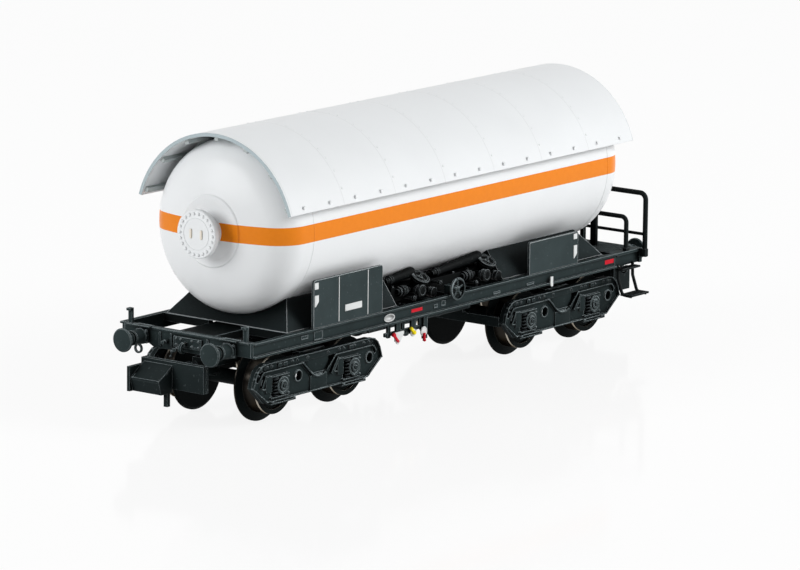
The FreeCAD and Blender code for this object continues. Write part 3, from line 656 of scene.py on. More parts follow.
band_low, band_high = 17.93, 19.68
tank_white = lacquer("tank_white", band=(band_low, band_high))
smooth_copy("tank_shell", "painted_tank", tank_white)
tank_low, tank_high = limits("tank_shell")
tank_z = (tank_low.z + tank_high.z) / 2
tank_r = (tank_high.z - tank_low.z) / 2
welds = [turned((x, 0, tank_z), REAR,
                ((-0.09, tank_r - 0.02), (-0.04, tank_r + 0.028), (0.04, tank_r + 0.028),
                 (0.09, tank_r - 0.02)), 96) for x in (-23.44, 25.55)]
welds += [turned((x, 0, tank_z), inward, ((0.2, 3.35), (0.2, 3.49), (0.31, 3.62), (0.45, 3.55)), 64)
          for x, inward in ((tank_low.x, REAR), (tank_high.x, FRONT))]
on_wagon(welds, "weld_seams", tank_white, places=ONCE)

# The manhole cover stands off the front end on a narrow neck: a thin flange with a ring of
# round-headed bolts and two cream grips.
cover_white = lacquer("cover_white", roughness=0.34)
cover_low, cover_high = limits("manhole_cover")
cover_face = cover_low.x + 0.12
cover_radius = (cover_high.z - cover_low.z) / 2
neck_radius = 1.4
cover = turned((cover_face, 0, tank_z), REAR,
               ((0, cover_radius - 0.09), (0.07, cover_radius), (0.52, cover_radius),
                (0.56, cover_radius - 0.06), (0.58, neck_radius), (1.5, neck_radius), (1.95, 1.6)),
               72)
on_wagon([cover], "flanged_cover", cover_white, "manhole_cover", ONCE)
ring_radius = 2.03
bolt_count = 22
bead = turned((0, 0, 0), UP, ((-0.03, 0.17), (0.06, 0.17), (0.12, 0.13), (0.15, 0.06)), 10)
bolt_ring = [(cover_face, ring_radius * math.cos(turn), tank_z + ring_radius * math.sin(turn))
             for turn in (math.tau * k / bolt_count for k in range(bolt_count))]
beads = spread(bead, [Matrix.Translation(point(*spot)) @ towards(FRONT) for spot in bolt_ring])
rim = turned((cover_face, 0, tank_z), FRONT,
             ((-0.03, 1.6), (0.03, 1.58), (0.035, 1.54), (-0.03, 1.52)), 48)
on_wagon([beads, rim], "cover_bolts", cover_white, places=ONCE)
grip_y, grip_half = 0.65, 0.46
on_wagon([closed(block((cover_low.x, y - 0.15, tank_z - grip_half),
                       (cover_face + 0.05, y + 0.15, tank_z + grip_half), 0.1))
          for y in (-grip_y, grip_y)],
         "cover_grips", lacquer("grip_cream", (0.80, 0.74, 0.64)), places=ONCE)


# ---------------------------------------------------------------- sun shield
# A thin curved roof over the tank, white outside, on bows and stringers; each bow shows as a
# row of small rivets and a faint joint line across the outside.
row_start, row_pitch, row_count = -19.5, 8.14, 6
first_rivet, rivets_a_side = 0.9, 9
shield_low, shield_high = limits("sun_shield")
# Its front and rear end faces are darkened as painted shade.
shield_white = lacquer("shield_white", roughness=0.36, seams=(row_start, row_pitch),
                       cut=(shield_low, shield_high))
smooth_copy("sun_shield", "painted_shield", shield_white)
# The bows and stringers are the roof's white plastic, painted grey as the shade under the roof.
dress("shield_frame", lacquer("shield_frame_shaded_grey", (0.42, 0.46, 0.46), 0.45))
shield_r = 9.95
shield_z = shield_high.z - shield_r
rivet = begin(bpy.ops.mesh.primitive_circle_add, vertices=8, radius=0.14 * MM, fill_type="NGON",
              location=point(0, 0, -0.01))
sink(0.035, -0.045)
sink(0.045, -0.02)
rivet_places = []
for row in range(row_count):
    for step in range(rivets_a_side):
        for side in (-1, 1):
            y = side * (first_rivet + step)
            z = math.sqrt(shield_r ** 2 - y ** 2)
            rivet_places.append(Matrix.Translation(point(row_start + row * row_pitch, y, shield_z + z))
                                @ towards((0, y, z)))
on_wagon([closed(rivet)], "shield_rivets", shield_white, places=rivet_places)


# Small clips hold the lower edges, evenly spaced between the two ends.
def evenly(low, high, margin, count):
    """Places spread evenly between two ends, less a margin at each."""
    return [low + margin + k * (high - low - 2 * margin) / (count - 1) for k in range(count)]


edge_turn = math.radians(17.0)
clip_y = 0.12 - shield_r * math.cos(edge_turn)
clip_z = shield_z + shield_r * math.sin(edge_turn) + 0.5
clip = closed(block((-0.16, -0.12, -0.12), (0.16, 0.12, 0.2), 0.04))
on_wagon([clip], "shield_clips", shield_white, places=[
    side @ at(x, clip_y, clip_z) for x in evenly(shield_low.x, shield_high.x, 2.2, 14)
    for side in BOTH_SIDES])


# ---------------------------------------------------------------- sign boards
# Four flat boards stand on the sole bars, dark with fine white rules; the small plates on them
# are left blank. Their top corners are rounded.
board_y = limits("sign_boards")[0].y
board_thick = 0.25


def rounded_board(x0, x1, z0, z1, corner=0.26):
    """A flat board whose two top corners are rounded."""
    centre = Vector(((x0 + x1) / 2, board_y + board_thick / 2, (z0 + z1) / 2))
    piece = begin(bpy.ops.mesh.primitive_cube_add, size=1.0, location=centre * MM,
                  stretch=Vector((x1 - x0, board_thick, z1 - z0)) * MM)
    pick(piece, "EDGE", lambda middle, run: abs(run.y) > 0.9 and middle.z > z1 - 0.01)
    bpy.ops.mesh.bevel(offset=corner * MM, segments=5, affect="EDGES")
    pick(piece, "FACE", lambda middle, normal: abs(normal.y) > 0.9)
    bpy.ops.mesh.inset(thickness=0.03 * MM, depth=0.025 * MM)
    pick(piece, "FACE", lambda middle, normal: normal.y < -0.9)
    sink(0.16, 0.03)
    return closed(piece)


def rule(x0, x1, z0, z1, proud=0.02):
    """A raised printed line or blank plate on a board's face."""
    return closed(block((x0, board_y - 0.005 - proud, z0), (x1, board_y + 0.05, z1), 0.012))


# Each board is given by its ends, its two heights and the rules that divide it; then come the
# blank plates, and the tags with a corner cut away.
board_parts, rules = [], []
for (x0, x1, z0, z1), dividers in (((-23.25, -12.3, 9.24, 14.0), (-19.25, -14.65)),
                                   ((12.25, 20.75, 9.24, 12.6), ())):
    board_parts.append(rounded_board(x0, x1, z0, z1))
    rules += [rule(x - 0.05, x + 0.05, z0 + 0.15, z1 - 0.15) for x in dividers]
for x0, x1, z0, z1 in ((-23.15, -22.55, 13.1, 13.75), (-18.3, -15.65, 10.25, 10.9),
                       (19.9, 20.5, 11.85, 12.42)):
    rules.append(rule(x0, x1, z0, z1, 0.05))
for x0, x1, z0, z1 in ((-23.12, -22.5, 11.38, 12.5), (19.95, 20.5, 9.85, 11.2)):
    rules.append(closed(block((x0, board_y - 0.055, z0), (x1, board_y + 0.05, z1), 0.012,
                              [((x1, board_y, z0 + 0.45), (0.7, 0, -0.7))])))
# The pale edge colour is a painted highlight along the boards' and saddles' top edges.
pale_edge_highlight = (0.78, 0.83, 0.85)
board_grey = moulded("board_grey", (0.034, 0.047, 0.049), pale_edge_highlight, edge=0.11)
on_wagon(board_parts, "rounded_sign_boards", board_grey, stands_for="sign_boards")
on_wagon(rules, "board_rules", marking_white)


# ---------------------------------------------------------------- saddles
# The tank rests on two saddles on the frame, each moulded in one with its side plates and the
# cradle plates between them. The plastic is the boards' grey, with strong painted shade where
# it's sheltered under the tank.
saddle_grey = moulded("saddle_grey", (0.028, 0.039, 0.041), pale_edge_highlight, edge=0.11, shade=5.0)
for node in ("saddle_front", "saddle_rear"):
    dress(node, saddle_grey)


# ---------------------------------------------------------------- valve gear
# Two leaning handwheel housings stand over pairs of capped pipes on each valve block; a long
# line with ribbed couplings runs behind, and the brake handwheel sits between them. All are
# near-black plastic mouldings, plugged into the block; the near-black is partly painted shade
# under the tank, and their pale edges are painted highlights.
# Painted shadow: the valve block, and the discs sunk in the hoods and open pipe ends, are near black.
painted_shadow_black = moulded("painted_shadow_black", (0.004, 0.005, 0.005), (0.02, 0.022, 0.024), 0.6)
dress("valve_manifolds", painted_shadow_black)
hood_tilt = math.radians(60)
hood_axis = Vector((0, -math.cos(hood_tilt), math.sin(hood_tilt)))
hood_flat = Vector(REAR).cross(hood_axis)
# Darker than the plastic's own tone as painted shade; its pale edge colour is a painted highlight.
shaded_valve_black = moulded("shaded_valve_black", (0.0022, 0.0030, 0.0032), (0.50, 0.56, 0.58), 0.42)
hood_y, hood_z = -6.95, 11.45
hood_parts, shadow_discs = [], []
for hood_x, reach in ((-4.1, 3.2), (7.05, 6.6)):
    face = Vector((hood_x, hood_y, hood_z))
    hood_parts.append(turned(face, hood_axis,
                             ((-1.9, 0.62), (-1.2, 0.7), (-0.75, 0.82), (-0.4, 0.86), (-0.34, 0.99),
                              (-0.06, 1.0), (-0.02, 0.94), (-0.02, 0.74), (-0.16, 0.72)), 32))
    hood_parts.append(turned(face, hood_axis, ((-0.2, 0.26), (-0.06, 0.24), (0.0, 0.14)), 16))
    for k in range(3):
        spoke_turn = math.radians(90 + 120 * k)
        run = Vector(REAR) * math.cos(spoke_turn) + hood_flat * math.sin(spoke_turn)
        pose = Matrix((hood_axis.cross(run), run, hood_axis)).transposed().to_4x4()
        pose.translation = point(*(face - hood_axis * 0.04))
        spoke = closed(block((-0.11, 0.1, -0.12), (0.11, 0.78, 0.0), 0.03))
        spoke.data.transform(pose)
        hood_parts.append(spoke)
    shadow_discs.append(turned(face, hood_axis, ((-0.165, 0.7), (-0.15, 0.7), (-0.145, 0.3)), 24))
    hood_parts.append(turned((hood_x - 0.35, -6.0, 11.8), (-1, 0.03, -0.1),
                             ((-0.2, 0.4), (0, 0.5), (0.5, 0.54), (reach, 0.4), (reach + 0.1, 0.46),
                              (reach + 0.4, 0.46), (reach + 0.5, 0.3), (reach + 0.9, 0.26)), 24))
on_wagon(hood_parts, "valve_housings", shaded_valve_black, stands_for="valve_hoods")

# The capped pipes, open and closed by turns; the open ones carry a ribbed coupling behind.
pipe_low = limits("valve_pipes")[0].y
fittings = []
for x, z, open_end in ((-4.75, 10.1, True), (-2.85, 9.7, False), (6.05, 10.05, True),
                       (8.0, 9.75, False)):
    wide = 0.62 if open_end else 0.5
    mouth = (((0.03, wide * 0.66), (-0.1, wide * 0.6)) if open_end else
             ((0.06, wide * 0.5), (0.09, wide * 0.3)))
    fittings.append(turned((x, pipe_low, z), NEAR,
                           ((-0.9, wide * 0.7), (-0.62, wide * 0.7), (-0.58, wide), (-0.42, wide),
                            (-0.38, wide * 0.75), (-0.2, wide * 0.75), (-0.17, wide),
                            (0.0, wide), (0.03, wide * 0.9)) + mouth, 20))
    if open_end:
        shadow_discs.append(turned((x, pipe_low, z), NEAR,
                           ((-0.11, wide * 0.6), (-0.09, wide * 0.58), (-0.085, 0.05)), 16))
        fittings.append(turned((x - 2.5, -6.35, z + 0.1), REAR,
                               ((0, 0.3), (0.15, 0.3), (0.18, 0.5), (0.34, 0.5), (0.37, 0.34),
                                (0.62, 0.34), (0.65, 0.55), (0.85, 0.55), (0.88, 0.34),
                                (1.1, 0.34), (1.13, 0.5), (1.3, 0.5), (1.34, 0.28),
                                (1.9, 0.26)), 18))
for x, z, reach in ((-5.9, 9.5, 4.1), (-1.25, 10.35, 3.8), (4.4, 9.5, 4.1)):
    fittings.append(turned((x, -3.6, z), NEAR,
                           ((0, 0.16), (reach - 0.4, 0.16), (reach - 0.36, 0.26),
                            (reach - 0.1, 0.26), (reach, 0.14)), 12))
fittings.append(turned((-7.6, -5.0, 10.75), REAR,
                       ((0, 0.2), (0.12, 0.34), (0.4, 0.34), (0.44, 0.22), (7.2, 0.22),
                        (7.24, 0.34), (7.5, 0.34), (7.54, 0.22), (14.6, 0.22), (14.64, 0.34),
                        (15.0, 0.34), (15.1, 0.2)), 14))
fittings.append(bolts([(x, y, 10.58) for x in (-7.4, -2.2, 2.6, 5.0) for y in (-3.8, -5.9)],
                      UP, 0.3, 0.18))
on_wagon(fittings, "valve_fittings", shaded_valve_black)
dress("valve_pipes", shaded_valve_black)
on_wagon(shadow_discs, "valve_shadow_discs", painted_shadow_black)

# The brake handwheel: a round rim on flat spokes with a dished centre.
wheel_x, wheel_y, wheel_z, wheel_r = -0.45, -8.85, 9.8, 1.05
wheel_hub = point(wheel_x, wheel_y, wheel_z)
rim = bow((wheel_x, wheel_y, wheel_z), (wheel_x, wheel_y, wheel_z + wheel_r), (0.26, 0.22), 360,
          FAR, 32)
only(rim)
rounding = rim.modifiers.new("rounding", "BEVEL")
rounding.width = 0.07 * MM
rounding.segments = 2
rounding.limit_method = "ANGLE"
bpy.ops.object.modifier_apply(modifier=rounding.name)
spoked = [rim]
for k in range(5):
    spoke = closed(block((wheel_x - 0.09, wheel_y - 0.02, wheel_z + 0.15),
                         (wheel_x + 0.09, wheel_y + 0.12, wheel_z + wheel_r - 0.05), 0.03))
    spoke.data.transform(Matrix.Translation(wheel_hub) @ Matrix.Rotation(math.tau * k / 5, 4, "Y")
                         @ Matrix.Translation(-wheel_hub))
    spoked.append(spoke)
spoked.append(turned((wheel_x, wheel_y, wheel_z), NEAR,
                     ((-0.66, 0.2), (-0.2, 0.2), (-0.14, 0.36), (0.02, 0.3), (0.06, 0.16),
                      (0.14, 0.16), (0.17, 0.08)), 20))
spoked.append(closed(block((wheel_x - 0.45, -8.25, 9.15), (wheel_x + 0.45, -7.4, 10.15), 0.1)))
on_wagon(spoked, "spoked_handwheels", frame_plastic, stands_for="handwheels")


# ---------------------------------------------------------------- changeover levers
# Small brake levers with white plates hang from straps under the sole bars, two red and one
# yellow on each side, on dark carriers moulded with the frame.
def slanted(x, low, high, thick, lean):
    """A handle in front of the plates, between two heights, leaned over by degrees."""
    handle = closed(block((x - thick / 2, arm_front, low), (x + thick / 2, arm_back, high), 0.04))
    middle = point(x, (arm_front + arm_back) / 2, (low + high) / 2)
    handle.data.transform(Matrix.Translation(middle) @ Matrix.Rotation(math.radians(lean), 4, "Y")
                          @ Matrix.Translation(-middle))
    return handle


strap_y = limits("lever_hangers")[0].y
arm_back = strap_y - 0.14
arm_front = strap_y - 0.36
white_parts = [closed(block((-10.25, arm_back, 5.58), (-8.55, strap_y, 6.76), 0.05,
                            [((-9.85, strap_y, 5.78), (-0.8, 0, -0.48)),
                             ((-9.12, strap_y, 5.78), (0.8, 0, -0.65))]))]
for x, z, radius in ((-5.25, 6.15, 0.5), (-7.0, 6.3, 0.4), (-9.48, 5.8, 0.3)):
    white_parts.append(turned((x, strap_y, z), NEAR,
                              ((0, radius), (0.1, radius), (0.15, radius - 0.05),
                               (0.15, radius - 0.12), (0.12, radius - 0.15)), 28))
on_wagon(white_parts, "lever_plates", marking_white, "lever_discs")
red_parts = [slanted(-10.03, 5.64, 6.78, 0.26, -43), slanted(-5.4, 5.24, 6.03, 0.24, 0)]
for x, z, radius in ((-10.4, 6.6, 0.24), (-5.4, 5.32, 0.17)):
    red_parts.append(turned((x, arm_back, z), NEAR,
                            ((0, radius - 0.04), (0.18, radius), (0.28, radius - 0.06)), 12))
on_wagon(red_parts, "red_levers", signal_red, "lever_arms")
on_wagon([slanted(-7.35, 6.2, 7.04, 0.27, -43),
          turned((-7.06, arm_back, 6.33), NEAR, ((0, 0.18), (0.2, 0.22), (0.28, 0.16)), 12)],
         "yellow_levers", signal_yellow)
carriers = [closed(block((-11.0, -7.85, 6.35), (-4.1, -7.55, 6.75), 0.06)),
            closed(block((-5.55, -7.95, 6.0), (-4.3, -7.7, 7.7), 0.08,
                         [((-5.55, 0, 6.5), (-0.7, 0, -0.7)), ((-4.3, 0, 6.5), (0.7, 0, -0.7))])),
            turned((-8.4, -7.9, 6.3), REAR,
                   ((0, 0.18), (0.5, 0.18), (0.52, 0.28), (0.8, 0.28), (0.82, 0.16),
                    (1.6, 0.16)), 12)]
carriers += [closed(block((x - 0.22, -7.9, 6.2), (x + 0.22, -7.6, 7.75), 0.05))
             for x in (-10.4, -8.1, -6.2)]
on_wagon(carriers, "lever_carriers", frame_plastic)


# ---------------------------------------------------------------- brake gear under the frame
# The brake cylinder and the air reservoir hang between the bogies with their end rings,
# straps, bolts and a pull rod to each side, moulded in the frame's plastic.
ring_bolts, ring_share = 8, 0.8
gear = []
for node, ribs in (("brake_cylinder", 3), ("air_reservoir", 2)):
    low, high = limits(node)
    radius = (high.y - low.y) / 2
    axis_y = (high.y + low.y) / 2
    axis_z = low.z + radius
    for end, way in ((low.x, 1), (high.x, -1)):
        gear.append(turned((end, axis_y, axis_z), (way, 0, 0),
                           ((-0.02, radius * 0.5), (-0.06, radius * 0.62), (-0.02, radius * 0.95),
                            (0.06, radius + 0.1), (0.3, radius + 0.1), (0.34, radius + 0.01)), 36))
        ring = [(end - way * 0.04, axis_y + radius * ring_share * math.cos(turn),
                 axis_z + radius * ring_share * math.sin(turn))
                for turn in (math.tau * k / ring_bolts for k in range(ring_bolts))]
        gear.append(bolts(ring, (-way, 0, 0), 0.22))
    for k in range(ribs):
        x = low.x + (high.x - low.x) * (k + 1) / (ribs + 1)
        gear.append(turned((x, axis_y, axis_z), REAR,
                           ((-0.22, radius), (-0.2, radius + 0.07), (0.2, radius + 0.07),
                            (0.22, radius)), 36))
cylinder_low, cylinder_high = limits("brake_cylinder")
rod_y = (cylinder_low.y + cylinder_high.y) / 2
gear.append(turned((cylinder_low.x, rod_y, 6.3), FRONT,
                   ((0, 0.5), (0.3, 0.5), (0.34, 0.22), (2.2, 0.22), (2.24, 0.32), (2.6, 0.32),
                    (2.66, 0.18)), 16))
gear.append(closed(block((cylinder_low.x - 2.6, rod_y - 4.2, 6.15),
                         (cylinder_low.x - 2.15, rod_y + 4.2, 6.4), 0.07)))
gear += [turned((cylinder_low.x - 2.4, y, 6.1), REAR,
                ((-0.3, 0.1), (-0.28, 0.16), (16.5, 0.16), (16.6, 0.1)), 10) for y in (-4.1, 3.7)]
on_wagon(gear, "brake_gear", frame_plastic, places=ONCE)


# ---------------------------------------------------------------- platform and steps
# A railed brakeman's platform at the rear: ribbed deck, tube rails, a handwheel on the brake
# column, and treads with raised edges on the steps. The deck is moulded with the frame; rails
# and steps are a blacker plastic, plugged into it.
deck_low, deck_high = limits("platform_deck")
rib_half = 7.4
deck_parts = [closed(block((x - 0.05, -rib_half, deck_high.z - 0.05),
                           (x + 0.05, rib_half, deck_high.z + 0.05), 0.02))
              for x in evenly(deck_low.x, deck_high.x, 0.45, 9)]


def tube(places, radius, bend, sides=12):
    """A round rod through places in millimetres, bent to one radius at each corner."""
    places = [Vector(place) for place in places]
    here, ahead = places[0], (places[1] - places[0]).normalized()
    piece = begin(bpy.ops.mesh.primitive_circle_add, vertices=sides, radius=radius * MM,
                  location=here * MM, rotation=ahead.to_track_quat("Z", "Y").to_euler())
    bpy.ops.mesh.select_mode(type="VERT")
    bpy.ops.mesh.select_all(action="SELECT")
    for corner, after in zip(places[1:], places[2:]):
        onward = (after - corner).normalized()
        turn = ahead.angle(onward)
        reach = bend * math.tan(turn / 2)
        start = corner - ahead * reach
        axis = ahead.cross(onward).normalized()
        bpy.ops.mesh.extrude_region_move(TRANSFORM_OT_translate={"value": (start - here) * MM})
        bpy.ops.mesh.spin(steps=6, angle=-turn, axis=axis,
                          center=(start + axis.cross(ahead) * bend) * MM)
        here, ahead = corner + onward * reach, onward
    bpy.ops.mesh.extrude_region_move(TRANSFORM_OT_translate={"value": (places[-1] - here) * MM})
    bpy.ops.mesh.select_all(action="SELECT")
    bpy.ops.mesh.fill_holes(sides=sides)
    return closed(piece)


rail_low, rail_high = limits("end_railing")
rail_x, rail_y, rail_z = rail_high.x - 0.3, rail_high.y - 0.05, rail_high.z - 0.24
# Like every moulded finish, it takes painted shade in hollows and a painted highlight on edges.
rail_black = moulded("rail_black", (0.011, 0.014, 0.0145), (0.09, 0.10, 0.105), 0.42, 0.05)
end_rail = [tube([(rail_x, -rail_y, rail_low.z), (rail_x, -rail_y, rail_z),
                  (rail_x, rail_y, rail_z), (rail_x, rail_y, rail_low.z)], 0.27, 0.7, 16),
            tube([(rail_x + 0.1, -rail_y, 10.7), (rail_x + 0.1, rail_y, 10.7)], 0.17, 1.0)]
for side in (-1, 1):
    foot = side * (rail_y - 0.12)
    end_rail.append(closed(block((rail_x - 0.3, foot - 0.38, rail_low.z),
                                 (rail_x + 0.29, foot + 0.34, rail_low.z + 0.85), 0.07)))
on_wagon(end_rail, "bent_end_railing", rail_black, stands_for="end_railing", places=ONCE)

hoop_low, hoop_high = limits("inner_railings")
hoop_x, hoop_z = (hoop_low.x + hoop_high.x) / 2, hoop_high.z - 0.24
outer_y, inner_y, post_y = 8.13, 3.9, 4.02
hoops = []
for side in (-1, 1):
    hoops.append(tube([(hoop_x, side * outer_y, hoop_low.z), (hoop_x, side * outer_y, hoop_z),
                       (hoop_x, side * inner_y, hoop_z)], 0.245, 0.6))
    hoops.append(closed(block((hoop_x - 0.2, side * post_y - 0.38, hoop_low.z),
                              (hoop_x + 0.2, side * post_y + 0.38, hoop_z + 0.2), 0.06)))
    hoops.append(closed(block((hoop_x - 0.3, side * outer_y - 0.3, hoop_low.z - 0.02),
                              (hoop_x + 0.3, side * outer_y + 0.22, hoop_low.z + 0.3), 0.06)))
on_wagon(hoops, "bent_inner_railings", rail_black, stands_for="inner_railings", places=ONCE)


# Each step is a pan with a raised rim and cross ribs, on a pair of round struts bent out
# under it.
def slab(x0, x1, y0, y1, z0, z1, bevel):
    """A block whose sideways limits may come in either order."""
    return block((x0, min(y0, y1), z0), (x1, max(y0, y1), z1), bevel)


step_low, step_high = limits("steps")
upper_step, lower_step = 7.6, 4.95
stairs = []
for side in (-1, 1):
    for z, y0, y1 in ((upper_step, 8.2, 9.15), (lower_step, 8.85, step_high.y)):
        pan = slab(step_low.x, step_high.x, side * y0, side * y1, z - 0.22, z, 0.05)
        stairs.append(sunk(pan, UP, 0.1, 0.06))
    for x in (step_low.x + 0.25, step_high.x - 0.3):
        stairs.append(tube([(x, side * 8.3, 7.9), (x, side * 8.36, 6.5), (x, side * 8.95, 4.83),
                            (x, side * 10.1, 4.76)], 0.17, 0.45))
    for x in evenly(step_low.x, step_high.x, 0.35, 7):
        for z, y0, y1 in ((upper_step, 8.35, 9.0), (lower_step, 9.0, step_high.y - 0.15)):
            stairs.append(closed(slab(x - 0.06, x + 0.06, side * y0, side * y1, z - 0.12, z - 0.01,
                                      0.02)))
on_wagon(stairs, "braced_steps", rail_black, stands_for="steps", places=ONCE)

column_low, column_high = limits("brake_column")
column_x, column_y = (column_low.x + column_high.x) / 2, (column_low.y + column_high.y) / 2
crank_z = column_high.z + 0.42
deck_parts.append(turned((column_x, column_y, column_high.z), UP,
                         ((-0.1, 0.3), (0.1, 0.3), (0.16, 0.2), (0.42, 0.2), (0.46, 0.28),
                          (0.6, 0.2)), 16))
deck_parts.append(bow((column_x, column_y, crank_z), (column_x + 0.72, column_y, crank_z),
                      (0.16, 0.16), 360, UP, 24))
for turn in (0, 120, 240):
    spoke = closed(block((-0.06, 0, -0.06), (0.06, 0.7, 0.06), 0.02))
    spoke.data.transform(at(column_x, column_y, crank_z, turn))
    deck_parts.append(spoke)
deck_parts.append(bolts([(rail_high.x - 0.02, y, z) for y in (rail_low.y + 0.3, rail_high.y - 0.3)
                         for z in (8.55, 8.95)], REAR, 0.24, 0.1))
fit(merged(deck_parts), "platform_fittings", frame_plastic, "wagon")


# ---------------------------------------------------------------- bogies
# Each bogie is moulded in dark grey plastic. Its side frames carry a riveted top chord, curved
# keepers at the ends, coil springs in dark pockets beside round-capped axle boxes, and a bolster
# end in the middle recess.
pivots = {joint["child"][len("bogie_"):]: joint["pos_m"][0] / MM
          for joint in frame["record"]["behaviour"]["joints"]
          if joint["child"].startswith("bogie_")}
gear_grey = (0.0172, 0.0256, 0.0265)
# Its pale edge colour is mostly a painted highlight, and its hollows take painted shade.
gear_plastic = moulded("running_gear_plastic", gear_grey, (0.50, 0.58, 0.60), 0.52, 0.08)


def on_bogies(parts, name, finish, stands_for=None):
    """Joins parts made on the near side about the pivot, and fits them to both sides of each bogie."""
    piece = merged(parts)
    for end, x in pivots.items():
        made = merged(repeat(piece, [at(x, 0, 0), at(x, 0, 0, 180)]))
        fit(made, f"{name}_{end}", finish, "bogie_" + end)
        if stands_for:
            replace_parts(made, f"{stands_for}_{end}")
    bpy.data.objects.remove(piece)


def bar(start, end, y0, y1, thick):
    """A straight flange from one (x, z) to another, standing between two depths."""
    run = Vector((end[0] - start[0], 0, end[1] - start[1]))
    length = run.length
    piece = closed(block((-length / 2 - thick / 2, y0, -thick / 2),
                         (length / 2 + thick / 2, y1, thick / 2), 0.035))
    lean = math.atan2(run.z, run.x)
    piece.data.transform(Matrix.Translation(point((start[0] + end[0]) / 2, 0,
                                                  (start[1] + end[1]) / 2))
                         @ Matrix.Rotation(-lean, 4, "Y"))
    return piece


def carve(piece, cutters):
    """Cuts pockets and slots out of a piece."""
    for tool in cutters:
        only(piece)
        cut = piece.modifiers.new("pocket", "BOOLEAN")
        cut.object = tool
        cut.solver = "EXACT"
        bpy.ops.object.modifier_apply(modifier=cut.name)
        bpy.data.objects.remove(tool)
    return piece


# The plate tapers down to its ends, from the shoulder points of its top edge to its tips and
# from there to the corners of its bottom edge.
side_face = -6.65
half_base, axle_z, bore_radius = 5.625, 3.88, 0.41
tip, tip_z, corner_x, corner_z = 10.12, 4.2, 7.9, 2.5
shoulder = ((8.3, 6.38), (8.95, 6.2), (9.45, 5.8), (9.8, 5.2), (tip, tip_z))
plate = closed(block((-10.2, side_face, corner_z), (10.2, -6.1, 6.4), 0.03, [
    place for side in (-1, 1) for place in
    [((side * tip, 0, tip_z), (side * (tip_z - corner_z), 0, corner_x - tip))] +
    [((side * x1, 0, z1), (side * (z0 - z1), 0, x1 - x0))
     for (x0, z0), (x1, z1) in zip(shoulder, shoulder[1:])]]))

# Cut through it or into it: the bolster's recess, spring pockets, lightening holes, bores for
# the journals, and a slanted slot at each end.
tool_y = -7.2
hole_reach, hole_z, hole_radius = 2.65, 4.4, 0.5
pockets = [closed(block((-2.55, tool_y, 4.3), (2.75, -5.9, 5.62), 0.02,
                        [((-1.15, 0, 4.3), (-1.25, 0, -1.1)), ((1.35, 0, 4.3), (1.25, 0, -1.1))]))]
for axle in (-half_base, half_base):
    pockets.append(closed(block((axle - 1.5, tool_y, 2.95), (axle - 0.25, -6.32, 4.85), 0.1)))
    for side in (-1, 1):
        pockets.append(turned((axle + side * hole_reach, tool_y, hole_z), FAR,
                              ((0, hole_radius), (1.3, hole_radius)), 28))
    pockets.append(turned((axle, tool_y, axle_z), FAR, ((0, bore_radius), (1.3, bore_radius)), 24))
for side in (-1, 1):
    slot_cut = closed(block((-0.2, tool_y, -0.5), (0.2, -5.9, 0.5), 0.16))
    slot_cut.data.transform(Matrix.Translation(point(side * 9.12, 0, 5.15))
                            @ Matrix.Rotation(math.radians(side * -20), 4, "Y"))
    pockets.append(slot_cut)
frames = [carve(plate, pockets)]

# The top chord is a channel: a web with rivets between two flanges that end in the keepers.
flange_back = side_face + 0.02
chord_top, chord_low = 6.36, 5.62
rib_face = -6.98
frames.append(closed(block((-8.3, side_face - 0.12, 5.7), (8.3, flange_back, 6.35), 0.03)))
frames.append(bar((-8.3, chord_top), (8.3, chord_top), -7.0, flange_back, 0.13))
for x0, x1 in ((-8.45, -2.5), (2.7, 8.45)):
    frames.append(bar((x0, chord_low), (x1, chord_low), rib_face, flange_back, 0.12))
for side in (-1, 1):
    for (x0, z0), (x1, z1) in zip(shoulder, shoulder[1:]):
        frames.append(bar((side * x0, z0 - 0.04), (side * x1, z1), -6.96, flange_back, 0.13))
    frames.append(bow((side * 8.0, -6.8, 4.55), (side * 8.55, -6.8, chord_low), (0.32, 0.13),
                      side * 42, FAR, 6))
    frames.append(bar((side * tip, tip_z), (side * corner_x, corner_z + 0.06), -6.88, flange_back,
                      0.14))
    frames.append(bolts([(side * x, flange_back, z) for x, z in ((8.72, 5.95), (9.0775, 5.3))], NEAR,
                        0.2, 0.1))
frames.append(bar((-2.5, 5.64), (-1.12, 4.36), rib_face, flange_back, 0.15))
frames.append(bar((2.7, 5.64), (1.32, 4.36), rib_face, flange_back, 0.15))
frames.append(bow((0.1, -6.8, chord_low), (-1.2, -6.8, 4.5), (0.36, 0.15), -82, FAR, 12))
frames.append(bar((2.95, 5.2), (2.05, 3.95), -7.05, flange_back, 0.3))
frames.append(bar((-corner_x, corner_z + 0.06), (corner_x, corner_z + 0.06), -6.88, flange_back,
                  0.13))
for keeper in (-5.6, 5.5):
    frames += [closed(block((keeper - 1.9, -7.02, z - 0.07), (keeper + 1.9, -6.2, z + 0.07), 0.03))
               for z in (2.3, 2.56)]
    frames.append(bolts([(keeper + dx, -7.0, 2.43) for dx in (-1.65, 1.65)], NEAR))
frames.append(closed(block((-1.2, -6.84, 2.62), (1.4, -6.6, 4.1), 0.05,
                           [((-1.2, 0, 4.0), (-1.0, 0, 0.22)), ((1.4, 0, 4.0), (1.0, 0, 0.22))])))
